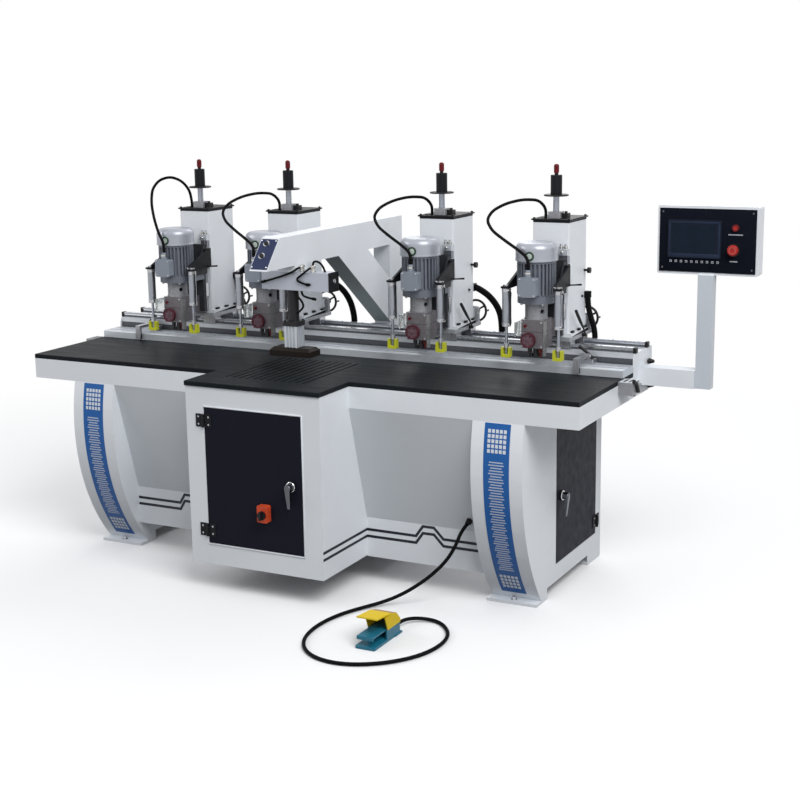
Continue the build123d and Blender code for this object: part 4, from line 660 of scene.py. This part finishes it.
paint("control_panel", "white", [
    # post and tube under the panel: painted shade
    ("postPaintedShade", (1240, 1720), (180, 420), (700, 1235.8)),
    ("facePlate", (1325, 1685), (196.5, 199.8), (1250, 1485)),
    ("bezel", (1350, 1563), (189, 197.2), (1298, 1449)),
    ("screen", (1371.5, 1541.5), (188, 195.2), (1319.5, 1427.5)),
    ("red", (1600, 1630), (188, 197), (1405, 1435)),
    ("plastic", (1583, 1637), (192, 197), (1308, 1364)),
])
paint("pedal_body", "pedalBlue", [
    ("hood", (596, 692), (-1025, -819), (46.2, 130)),
    # inside of the hood: painted shade
    ("hoodInsidePaintedShade", (608.2, 679.8), (-1000, -824), (46.4, 106)),
    ("plastic", (645, 675), (-819.8, -790), (8, 40)),
])

# The slanted button plate and its rings lie proud of the arm's sloping nose
buttonPlate = {
    "nose": (-631.0, 1282.0),
    "slope": atan2(118, 99),
    "backEnd": -520,
    "proud": (-12, -0.2),
    "plateTop": -3.2,
}


def paintButtonPlate(s):
    mesh = nodes["press_arm"].data
    plate = len(mesh.materials)
    for look in ("plateBlue", "chrome"):
        mesh.materials.append(finishes[look])
    y0, z0 = s["nose"]
    outer, inner = s["proud"]
    for face in mesh.polygons:
        spot = face.center / mm
        across = (spot.y - y0) * sin(s["slope"]) - (spot.z - z0) * cos(s["slope"])
        if spot.z > z0 and spot.y < s["backEnd"] and outer < across < inner:
            face.material_index = plate if across > s["plateTop"] else plate + 1


paintButtonPlate(buttonPlate)
print("carried-over parts painted")

# Blue strips on the bowed legs, with rows of white squares and plain bars between them
legStrip = {
    "top": (-490.0, 747.0),
    "fullest": (-512.0, 560.0),
    "foot": (-313.0, 12.0),
    "inner": 830.0,
    "width": 208.0,
    "share": (0.25, 0.75),
    "span": (0.004, 0.955),
    "steps": 48,
    "proud": 0.7,
    "printed": 1.2,
    "sunk": 0.05,
    "columns": 5,
    "margin": 0.12,
    "topRows": (0.030, 0.150, 5),
    "lowRows": (0.820, 0.920, 4),
    "square": ((0.14, 0.86), (0.12, 0.84)),
    "bars": (0.185, 0.790, 44),
    "barReach": (0.27, 0.30, 0.22),
    "barSpan": (0.2, 0.62),
}


def circleThrough(a, b, c):
    (ax, ay), (bx, by), (cx, cy) = a, b, c
    d = 2 * (ax * (by - cy) + bx * (cy - ay) + cx * (ay - by))
    a2, b2, c2 = ax * ax + ay * ay, bx * bx + by * by, cx * cx + cy * cy
    u = (a2 * (by - cy) + b2 * (cy - ay) + c2 * (ay - by)) / d
    v = (a2 * (cx - bx) + b2 * (ax - cx) + c2 * (bx - ax)) / d
    return u, v, hypot(ax - u, ay - v)


def legPoint(s, x, share, proud):
    u, v, r = circleThrough(s["top"], s["fullest"], s["foot"])
    start = atan2(s["top"][1] - v, s["top"][0] - u) % (2 * pi)
    end = atan2(s["foot"][1] - v, s["foot"][0] - u) % (2 * pi)
    a = start + (end - start) * share
    return (x, u + (r + proud) * cos(a), v + (r + proud) * sin(a))


def patchInto(bm, s, xs, shares, proud, steps, finish):
    loop = [(xs[0], proud), (xs[1], proud), (xs[1], s["sunk"]), (xs[0], s["sunk"])]
    rows = []
    for i in range(steps + 1):
        share = shares[0] + (shares[1] - shares[0]) * i / steps
        rows.append([bm.verts.new(point(*legPoint(s, x, share, p))) for x, p in loop])
    skinInto(bm, rows, finish, True)


def addLegStrip(side, s):
    x0 = s["inner"] + s["width"] * s["share"][0]
    x1 = s["inner"] + s["width"] * s["share"][1]
    wide = x1 - x0
    flip = -1 if side == "left" else 1
    bm = bmesh.new()
    patchInto(bm, s, (flip * x0, flip * x1), s["span"], s["proud"], s["steps"], 0)
    pitch = wide * (1 - 2 * s["margin"]) / s["columns"]
    across, along = s["square"]
    for first, last, rows in (s["topRows"], s["lowRows"]):
        step = (last - first) / rows
        for row in range(rows):
            shares = [first + (row + edge) * step for edge in along]
            for column in range(s["columns"]):
                left = x0 + wide * s["margin"] + column * pitch
                xs = [flip * (left + edge * pitch) for edge in across]
                patchInto(bm, s, xs, shares, s["printed"], 2, 1)
    first, last, bars = s["bars"]
    step = (last - first) / bars
    for i in range(bars):
        reach = s["barReach"][i % len(s["barReach"])]
        xs = [flip * (x0 + wide * (0.5 + edge)) for edge in (-reach, reach)]
        shares = [first + (i + edge) * step for edge in s["barSpan"]]
        patchInto(bm, s, xs, shares, s["printed"], 1, 2)
    looks = ["stripBlue", "stripWhite", "stripSilver"]
    addPiece(f"legStrip_{side}", bm, looks, "base")


for side in ("left", "right"):
    addLegStrip(side, legStrip)

# Twin black lines along the lower rails and the sides of the centre cabinet
twinLines = {
    "thick": 11.0,
    "drop": 28.0,
    "proud": 0.7,
    "railFace": -360.0,
    "cabinetX": 303.0,
    "cabinetFront": -715.0,
    "right": [(303, 221), (523, 221), (554, 264), (602, 264), (643, 222), (830, 222)],
    "left": [(-830, 223), (-610, 223), (-587, 261), (-545, 261), (-518, 223), (-303, 223)],
}


def ribbonCorners(path, thick):
    upper, lower = [], []
    for i, (x, z) in enumerate(path):
        before = path[max(i - 1, 0)]
        after = path[min(i + 1, len(path) - 1)]
        go = Vector((x - before[0], z - before[1]))
        leave = Vector((after[0] - x, after[1] - z))
        go = (go if go.length else leave).normalized()
        leave = (leave if leave.length else go).normalized()
        across = Vector((-(go.y + leave.y), go.x + leave.x)).normalized()
        reach = thick / 2 / max(0.5, across.dot(Vector((-go.y, go.x))))
        upper.append((x + across.x * reach, z + across.y * reach))
        lower.append((x - across.x * reach, z - across.y * reach))
    return upper, lower


def addTwinLines(s):
    bm = bmesh.new()
    for path in (s["right"], s["left"]):
        for drop in (0, s["drop"]):
            upper, lower = ribbonCorners([(x, z - drop) for x, z in path], s["thick"])
            for i in range(len(path) - 1):
                corners = [lower[i], lower[i + 1], upper[i + 1], upper[i]]
                plateInto(bm, [(x, s["railFace"], z) for x, z in corners], (0, -s["proud"], 0))
    for flip in (-1, 1):
        for drop in (0, s["drop"]):
            x = flip * s["cabinetX"]
            z = (s["right"][0][1] if flip > 0 else s["left"][-1][1]) - drop
            low, high = z - s["thick"] / 2, z + s["thick"] / 2
            y0, y1 = s["cabinetFront"] + 2, s["railFace"] - s["proud"]
            corners = [(x, y0, low), (x, y1, low), (x, y1, high), (x, y0, high)]
            plateInto(bm, corners, (flip * s["proud"], 0, 0))
    addPiece("twinLines", bm, ["lineBlack"], "base")


addTwinLines(twinLines)
print("legs and base dressed")

# Boring heads: a ribbed conduit on each, along one of three routes
conduitRoutes = {
    "wide": (91, 280, 1127, 13.0, [
        (0, 0, 0), (48, 2, -5), (100, 16, -43), (124, 37, -97), (131, 53, -157), (130, 60, -213),
        (128, 60, -255)]),
    "rear": (77, 330, 1127, 13.0, [
        (0, 0, -6), (17, 2, -13), (39, 3, -25), (62, 4, -41), (84, 6, -64), (102, 8, -91),
        (113, 9, -121), (117, 10, -151), (118, 12, -180), (117, 12, -255)]),
    "close": (89, 303, 1108, 11.0, [
        (0, 0, 0), (1, 3, -40), (9, 14, -84), (18, 30, -128), (19, 42, -176), (18, 43, -236)]),
    "kinds": ("close", "wide", "rear", "close"),
    "ribs": (7.0, 0.5, 0.9),
}


def addConduitRibs(n, x, s):
    x0, y0, z0, radius, route = s[s["kinds"][n - 1]]
    pitch, proud, depth = s["ribs"]
    path = pathAlong([(x + x0 + a, y0 + b, z0 + c) for a, b, c in route], 48)
    bm = bmesh.new()
    sweepInto(bm, path, lambda d: radius + proud + depth * cos(2 * pi * d / pitch), 0, 18)
    addPiece(f"conduitRibs_{n}", bm, ["rubber"], f"column_{n}", sharp=80)


# Column: dark blocks on the foot, painted shade of the pockets round the flange screws, cover
# plates, clamp cylinder caps, elbows and hoses, regulator knobs, and a small stop pin on the flank
# of the two right heads
clampXs = (-109, 109)
clampY = -77
clampHose = [(24, -20, 1178), (29, -21, 1172), (23, -13, 1150), (22, -9, 1110), (23, -12, 1070),
             (29, -21, 1050), (24, -20, 1044)]
clampElbow = [(0, 0), (5.5, 0, 6), (5.5, 6, 6), (4.2, 7), (4.2, 13), (0, 13)]
regulatorKnob = [(8.0, 0), (9.2, 1), (9.2, 8), (8.0, 9)]
hoseNipple = [(0, 0), (6, 0, 6), (6, 6, 6), (4.5, 7), (4.5, 14), (0, 14)]


def rimPlates(half, y0, y1, cut=4.2, thick=0.9, low=1427, high=1435, finish=4):
    # dark edge under the top plate, with the column's corners cut as flats
    ring = [(-half, y0 + cut), (cut - half, y0), (half - cut, y0), (half, y0 + cut)]
    ring += [(half, y1 - cut), (half - cut, y1), (cut - half, y1), (-half, y1 - cut)]
    plates = []
    for (ax, ay), (bx, by) in zip(ring, ring[1:] + ring[:1]):
        inward = Vector((ay - by, bx - ax, 0)).normalized() * thick
        corners = [(ax, ay, low), (bx, by, low), (bx, by, high), (ax, ay, high)]
        plates.append((corners, inward, finish))
    return plates


columnTrim = {
    "looks": ["plastic", "brass", "steel", "white", "blackPaint"],
    "boxes": [
        # dark blocks on the foot flanks: painted shade of the screw pockets
        *[((sx - 5, y - 12, 985.3), (sx + 5, y + 12, 994.3), 2)
          for sx in (-83, 83) for y in (148, 221, 294)],
        *[((sx - 0.7, 113, 1185), (sx + 0.7, 129, 1267), 0.5, 3) for sx in (-82.7, 82.7)],
    ],
    "turned": [
        *[((cx, clampY, z), up, [(16.9, 0), (18.2, 0.8), (18.2, h - 0.8), (16.9, h)], 2, 36)
          for cx in clampXs for z, h in ((1035, 14), (1170, 15.8))],
        *[((cx + 13, clampY - 11, z), (0.76, -0.65, 0), clampElbow, 1, 18)
          for cx in clampXs for z in (1044, 1178)],
        ((50, 98, 1328), up, regulatorKnob, 1),
        ((70, 98, 1328), up, regulatorKnob, 1),
        ((60, 84, 1314), front, hoseNipple, 1, 18),
    ],
    "tubes": [([(cx + a, clampY + b, c) for a, b, c in clampHose], lambda d: 2.6, 0, 10)
              for cx in clampXs],
    "rods": [([(100, 60, 1190), (122, 58, 1192), (152, 56, 1195)],
              lambda d: 3.0 if d < 34 else 4.0)],
    "plates": rimPlates(77.5, 113.5, 311.5),
}
stopPin = ((77, 262, 1119), right, [(0, -0.5), (5, -0.5), (5, 5), (3.6, 7), (0, 7)], 0, 18)
rightColumnTrim = {**columnTrim, "turned": columnTrim["turned"] + [stopPin]}

# Motor: badge, lid screws, flange bolts, cowl band and cable gland
spindleY = -35
badgeWay = Vector((3, -82, 0)).normalized()
badgePlace = Vector((0, spindleY, 1318)) + badgeWay * 79.8
motorGland = [(0, 0), (12.5, 0, 6), (12.5, 9, 6), (11, 10), (10.6, 22), (9.4, 28), (6.4, 29.5),
              (0, 29.5)]
motorTrim = {
    "looks": ["badgeRing", "badge", "steel", "cowl", "boxGrey", "brass"],
    "screws": [([(sx, -152, z) for sx in (-23, 35) for z in (1171, 1233)], front, 3.4, 2.4, 2)],
    "bolts": [([(63 * cos(a), spindleY + 63 * sin(a), 1131)
                for a in ((i + 0.5) * pi / 2 for i in range(4))], down, 5.5, 7.5, 2)],
    "turned": [
        (badgePlace, badgeWay, [(0, 0), (18.5, 0), (18.5, 3.2), (17.39, 4.0), (11.1, 3.6)], 0, 32),
        (badgePlace, badgeWay, [(11.47, 3.2), (10.73, 3.9), (0, 3.9)], 1, 32),
        ((0, spindleY, 1296), up, [(82, -0.5), (83, 0.5), (83, 5.5), (82, 6.5)], 3, 56),
        ((2, -128, 1238), up, motorGland, 4),
        ((2, -128, 1251), up, [(10.4, 0), (12.6, 0.8), (12.6, 7), (10.4, 8)], 5),
    ],
}

# Gear case: screws, inspection cap, joint line, depth wheel rim, bell collars and clear chip guard
capX, capY, capZ = -13, -93, 987
capHub = [(0, 0), (8, 0), (8, 2.6), (6.5, 3), (3.5, 3, 6), (3.4, 1.5, 6), (0, 1.4)]
wheelRim = [(43, -0.5), (48, -1.2), (49.6, 0), (49.6, 4), (48, 5.2), (43, 4.5)]
bellCollar = [(44.0, 0), (45.6, 0.8), (45.6, 8), (44, 9)]
caseTrim = {
    "looks": ["steel", "capRed", "slideGrey", "casting", "capFace", "clear", "plastic"],
    "boxes": [
        ((-47.4, -82.5, 1019), (47.4, 15.4, 1020.4), 0, 2),
        ((-50.5, -138, 1006), (-47.4, -80, 1062), 0.6, 5),
    ],
    "screws": [
        ([(sx, -82, z) for sx in (-40, 40) for z in (962, 1058)], front, 4.2, 4.0),
        ([(capX + 19 * cos(a), capY, capZ + 19 * sin(a))
          for a in (i * pi / 3 for i in range(6))], front, 2.6, 1.8, 1),
    ],
    "turned": [
        ((capX, capY, capZ), front, capHub, 4),
        ((0, 170, 1529), up, wheelRim, 6, 48),
        ((0, spindleY, 1066), up, bellCollar, 3, 48),
        ((0, spindleY, 1122), up, bellCollar, 3, 48),
    ],
}

# Saddle: rear screws, and a locking lever on the two right heads
saddleTrim = {
    "looks": ["plastic", "steel"],
    "screws": [([(-78, 352, 972), (78, 352, 972)], up, 5.0, 5.5, 1)],
}
rightSaddleTrim = {
    **saddleTrim,
    "turned": [((92, 236, 965), right,
                [(0, -0.5), (8, -0.5), (8, 5), (6.5, 6), (6.5, 16), (4, 18), (0, 18)])],
    "levers": [([(104, 236, 966), (105, 228, 982), (104, 180, 1026), (104, 129, 1077)],
                lambda d: 3.6 + 2.8 * min(1, max(0, d - 30) / 60),
                [(6.4, 0), (6.4, 1), (4.4, 5), (0, 6)])],
}

for n, x in enumerate(headX, 1):
    addConduitRibs(n, x, conduitRoutes)
    column, saddle = (rightColumnTrim, rightSaddleTrim) if n > 2 else (columnTrim, saddleTrim)
    addTrim(f"columnTrim_{n}", column, f"column_{n}", x)
    addTrim(f"motorTrim_{n}", motorTrim, f"feed_{n}", x)
    addTrim(f"caseTrim_{n}", caseTrim, f"feed_{n}", x)
    addTrim(f"saddleTrim_{n}", saddle, f"saddle_{n}", x)
print("boring heads dressed")

# Guide way: plugs, a dark strip of painted shade for each rail's ball groove, end caps of the
# rails, holes along the beam and fence
holeXs = [-1210 + 2420 * i / 23 for i in range(24)]
railPlug = [(0, -1), (5, -1), (5, 0.1), (4.3, 0.16), (0, 0.05)]
wayTrim = {
    "looks": ["plastic", "steel", "wall"],
    "boxes": [
        # a dark strip on each rail's front face: painted shade of the ball groove
        *[((-1249, y - 11.7, 924), (1249, y - 11.4, 931), 0, 2) for y in railYs],
        *[((ex - 6.5, y - 12.4, 922.2), (ex + 6.5, y + 12.4, 944.9), 0.8)
          for ex in (-1247.5, 1247.5) for y in railYs],
    ],
    "screws": [
        ([(hx, 212, 922) for hx in holeXs], up, 6.0, 6.0, 1),
        ([(hx, 61, 880) for hx in holeXs], up, 4.6, 1.6, 1),
    ],
    "turned": [((hx, y, 944), up, railPlug, 0, 20) for hx in holeXs for y in railYs],
}
addTrim("railPlugs", wayTrim, "base")

# Backs: cover screws on the columns, the cabinet, the pedestals and the panel, and cabinet louvres
columnBack = {
    "looks": ["steel"],
    "screws": [([(sx, 311, z) for sx in (-62, 62) for z in (1008, 1210, 1412)], back, 4.2, 2.6)],
}
legXs = (-1018, -850, 850, 1018)
louvreTilt = Matrix.Rotation(radians(24), 3, "X")
backGland = [(0, -1), (11, -1), (11, 7, 6), (9, 8), (8, 15), (5, 18), (0, 18)]
backTrim = {
    "looks": ["steel", "white", "plastic"],
    "boxes": [((-248, 348.5, z), (-128, 353.5, z + 11), 1.6, 1, louvreTilt)
              for z in range(250, 426, 22)],
    "screws": [
        ([(sx, 350, z) for sx in (-286, 286) for z in (132, 440, 724)], back, 4.6, 2.8),
        ([(sx, 350, z) for sx in legXs for z in (140, 430, 724)], back, 4.6, 2.8),
        ([(sx, 280, z) for sx in (1326, 1684) for z in (1253, 1483)], back, 3.8, 2.6),
    ],
    "turned": [((1506, 280, 1262), back, backGland, 2)],
}
for n, x in enumerate(headX, 1):
    addTrim(f"columnBackScrews_{n}", columnBack, f"column_{n}", x)
addTrim("backTrim", backTrim, "base")

# Door furniture: hinge screws, the folded lip round the cabinet opening and lock cups
centerZs, sideZs = (238, 268, 682, 712), (155, 185, 635, 665)
lockCup = [(15.5, -1), (19.5, -1), (20.2, 0.6), (18.6, 2.2), (15.5, 1.6), (15.5, -1)]
doorFrameTrim = {
    "looks": ["steel", "white"],
    "screws": [
        ([(-244, -718, z) for z in centerZs], front, 3.6, 2.2),
        ([(1041, 312, z) for z in sideZs], right, 3.6, 2.2),
    ],
    "boxes": [
        ((221.5, -718.2, 193), (226.5, -713, 756), 1.2, 1),
        ((-221.5, -718.2, 193), (221.5, -713, 198), 1.2, 1),
        ((-221.5, -718.2, 751), (221.5, -713, 756), 1.2, 1),
    ],
}
centerDoorTrim = {
    "looks": ["steel", "chrome"],
    "screws": [([(-197, -719, z) for z in centerZs], front, 3.6, 2.2)],
    "turned": [((171, -724, 473), front, lockCup, 1, 32)],
}
sideDoorTrim = {
    "looks": ["steel", "chrome"],
    "screws": [([(1042, 268, z) for z in sideZs], right, 3.6, 2.2)],
    "turned": [((1047, -115, 385), right, lockCup, 1, 32)],
}
addTrim("doorFrameTrim", doorFrameTrim, "base")
addTrim("centerDoorTrim", centerDoorTrim, "center_door")
addTrim("sideDoorTrim", sideDoorTrim, "side_door")

# Fittings at the ends: clamp lever, lifting eye, stop levers, anchor bolts and pedal flange
clampLever = [(1306, -62, 850), (1313, -58, 850), (1315, -40, 838), (1314, -18, 804)]
stopLevers = [
    [(1084, 95, 898), (1084, 95, 908), (1066, 95, 918), (1030, 95, 944)],
    [(-1068, 95, 898), (-1070, 95, 912), (-1062, 95, 922), (-1030, 95, 946)],
]
stopBoss = [(0, -0.5), (9, -0.5), (9, 5), (7, 8), (0, 8)]
eyeRings = [(8, 0), (12.5, 0), (13, 2), (12.5, 5), (9, 5), (8, 3), (8, 0)]
endTrim = {
    "looks": ["plastic", "chrome", "steel", "pedalBlue"],
    "boxes": [((600, -862, 0.5), (688, -806, 7.5), 2.5, 3)],
    "bolts": [([(sx, y, 12) for sx in (-935, 935) for y in (-340, 340)], up, 9.5, 12, 2)],
    "turned": [
        (clampLever[0], right, [(0, 0), (9, 0), (9, 9), (7, 11), (0, 11)]),
        ((1250, 192, 842), right, eyeRings, 1, 28),
        *[(lever[0], up, stopBoss) for lever in stopLevers],
    ],
    "tubes": [
        (clampLever, lambda d: 4.5 + 3.0 * min(1, d / 50)),
        *[(lever, lambda d: 4.0 + 2.4 * min(1, max(0, d - 12) / 30)) for lever in stopLevers],
    ],
}
addTrim("endTrim", endTrim, "base")

# Press arm: plate screws, fittings and air lines
armTail = [(0, 0), (11, 0, 6), (11, 9, 6), (8, 10), (8, 17), (10, 19), (10, 27), (6, 29), (0, 29)]
armNozzle = [(0, 0), (7, 0), (7, 9), (5, 10), (5, 14), (0, 14)]
tailXs = (58, 106)
noseY, noseZ = buttonPlate["nose"]
rise, run = sin(buttonPlate["slope"]), cos(buttonPlate["slope"])
plateScrews = [(sx, noseY + way * run - 3 * rise, noseZ + way * rise + 3 * run)
               for sx in (-32, 32) for way in (16, 138)]
armTrim = {
    "looks": ["chrome", "brass", "plastic"],
    "screws": [
        (plateScrews, (0, -rise, run), 3.6, 2.4),
        ([(sx, y, 1055) for sx in (-26, 26) for y in (-406, -354)], up, 4.2, 5.0, 2),
        ([(189, y, z) for y in (-408, -352) for z in (1189, 1248)], right, 4.2, 3.6, 2),
    ],
    "turned": [
        *[((sx, -399, 1255), up, armTail, 1) for sx in tailXs],
        *[((sx, -406, 1274), front, armNozzle, 1, 18) for sx in tailXs],
        ((189, -380, 1222), right, [(0, -0.5), (9, -0.5), (9, 2), (7.5, 3), (0, 3)]),
    ],
}
airLine = {
    "looks": ["rubber"],
    "tubes": [(line, lambda d: 4.2, 0, 12) for line in (
        [(58, -418, 1274), (56, -432, 1274), (34, -430, 1258), (-30, -424, 1234),
         (-106, -421, 1213)],
        [(106, -399, 1283), (108, -402, 1300), (136, -398, 1297), (148, -384, 1270),
         (150, -380, 1252)],
        [(106, -418, 1274), (106, -432, 1272), (70, -430, 1246), (42, -424, 1228),
         (60, -422, 1214), (88, -420, 1208)],
        [(30, -404, 1184), (34, -410, 1160), (60, -412, 1140), (66, -408, 1112),
         (30, -404, 1090)],
        [(54, -404, 1184), (58, -412, 1166), (84, -414, 1156), (108, -410, 1152)],
    )],
    "turned": [(end, way, [(0, -2), (6, -2), (6, 12), (5, 14), (0, 14)]) for end, way in (
        ((-106, -421, 1213), (-1, 0.05, -0.28)),
        ((108, -410, 1152), (1, 0, -0.1)),
        ((88, -420, 1208), right),
    )],
}
addTrim("armTrim", armTrim, "base")
addTrim("airLines", airLine, "base")
print("arm dressed")

# Control panel: corner screws, screen frame, keys, plain legend marks, lamp ring, and a raised stop
# ring in paler red as a painted highlight
keyXs = [1364 + 185 * i / 9 for i in range(10)]
panelTrim = {
    "looks": ["leverSteel", "slate", "legend", "facePlate", "redShade"],
    "boxes": [
        ((1318, 196.5, 1246), (1694, 199.9, 1490), 0.4, 3),
        *[((x0, 190.4, z0), (x1, 191.6, z1), 0.4, 1) for x0, x1, z0, z1 in (
            (1356, 1557, 1303, 1318), (1356, 1557, 1434, 1441),
            (1356, 1363, 1318, 1434), (1550, 1557, 1318, 1434))],
        *[((kx - 4.5, 196.3, 1281.5), (kx + 4.5, 197.2, 1290.5), 0.2, 2) for kx in keyXs],
        *[((kx - 2, 196, 1284), (kx + 2, 196.6, 1288), 0.0, 3) for kx in keyXs],
        ((1587, 196.4, 1391.8), (1643, 197.2, 1396.2), 0.2, 2),
        ((1595, 196.4, 1289.8), (1625, 197.2, 1294.2), 0.2, 2),
    ],
    "screws": [([(sx, 197, z) for sx in (1331, 1681) for z in (1261, 1476)], front, 3.8, 2.6)],
    "turned": [((1615, 189, 1420), front, [
        (8.6, -1), (13.3, -1), (13.3, 0.6), (12.4, 1.1), (8.6, 0.7), (8.6, -1)], 4, 32)],
}
# raised ring on the stop button in paler red: painted highlight
stopRing = {
    "looks": ["redPale"],
    "turned": [((1610, 172, 1336), front, [
        (9.5, -1), (14.5, -1), (14.0, 0.8), (10.4, 1.0), (9.5, -1)], 0, 32)],
}
addTrim("panelTrim", panelTrim, "base")
addTrim("stopRing", stopRing, "stop_button")
print("panel dressed")

# Pale floor and plain studio light
stageSettings = {
    "floorSize": 40.0,
    "floorZ": -0.0006,
    "seenColour": (0.93, 0.93, 0.935, 1),
    "bounceColour": (0.18, 0.18, 0.185, 1),
    "fade": (2.2, 4.4),
    "fill": 0.46,
    "fillColour": (0.96, 0.98, 1.0, 1),
    "white": (1, 1, 1, 1),
}


def seenRays(tree):
    # 1 for what the camera sees straight, in metal or through glass
    path = addNode(tree, "LightPath").outputs
    total = path["Is Camera Ray"]
    for kind in ("Is Glossy Ray", "Is Transmission Ray"):
        either = addNode(tree, "Math", {0: total, 1: path[kind]}, operation="MAXIMUM")
        total = either.outputs[0]
    return total


def addFloor(s):
    mesh = bpy.data.meshes.new("studioFloor")
    half = s["floorSize"] / 2
    corners = [(-half, -half, 0), (half, -half, 0), (half, half, 0), (-half, half, 0)]
    mesh.from_pydata(corners, [], [(0, 1, 2, 3)])
    floor = bpy.data.objects.new("studioFloor", mesh)
    floor.location.z = s["floorZ"]
    scene.collection.objects.link(floor)
    finish = bpy.data.materials.new("studioFloorFinish")
    finish.use_nodes = True
    tree = finish.node_tree
    tree.nodes.clear()
    bounce = addNode(tree, "BsdfDiffuse", {"Color": s["bounceColour"]})
    matte = addNode(tree, "BsdfDiffuse", {"Color": s["seenColour"]})
    glow = addNode(tree, "Emission", {"Color": s["white"], "Strength": 1.0})
    place = addNode(tree, "TexCoord").outputs["Object"]
    reach = addNode(tree, "VectorMath", {0: place}, operation="LENGTH").outputs["Value"]
    fade = spread(reach, 0.0, 1.0, *s["fade"], interpolation_type="SMOOTHSTEP")
    either = mixShaders(seenRays(tree), bounce, mixShaders(fade, matte, glow))
    addNode(tree, "OutputMaterial", {"Surface": either.outputs[0]})
    mesh.materials.append(finish)


def addWorld(s):
    world = bpy.data.worlds.new("studioWorld")
    world.use_nodes = True
    scene.world = world
    tree = world.node_tree
    tree.nodes.clear()
    fill = addNode(tree, "Background", {"Color": s["fillColour"], "Strength": s["fill"]})
    seen = addNode(tree, "Background", {"Color": s["white"]})
    either = mixShaders(seenRays(tree), fill, seen)
    addNode(tree, "OutputWorld", {"Surface": either.outputs[0]})


lamps = [
    {"name": "keyLamp", "place": (4.6, -3.6, 6.0), "aim": (0, 0, 0.8), "size": 4.5, "watts": 440},
    {"name": "leftLamp", "place": (-5.0, -2.4, 3.6), "aim": (0, 0, 0.9), "size": 3.5, "watts": 90},
    {"name": "rearLamp", "place": (-0.8, 4.8, 4.6), "aim": (0, 0, 0.9), "size": 4.0, "watts": 130},
]


def addLamp(s):
    data = bpy.data.lights.new(s["name"], "AREA")
    data.energy = s["watts"]
    data.size = s["size"]
    lamp = bpy.data.objects.new(s["name"], data)
    lamp.location = s["place"]
    ahead = Vector(s["aim"]) - Vector(s["place"])
    lamp.rotation_euler = ahead.to_track_quat("-Z", "Y").to_euler()
    scene.collection.objects.link(lamp)


addFloor(stageSettings)
addWorld(stageSettings)
for lamp in lamps:
    addLamp(lamp)
print("stage and light set")
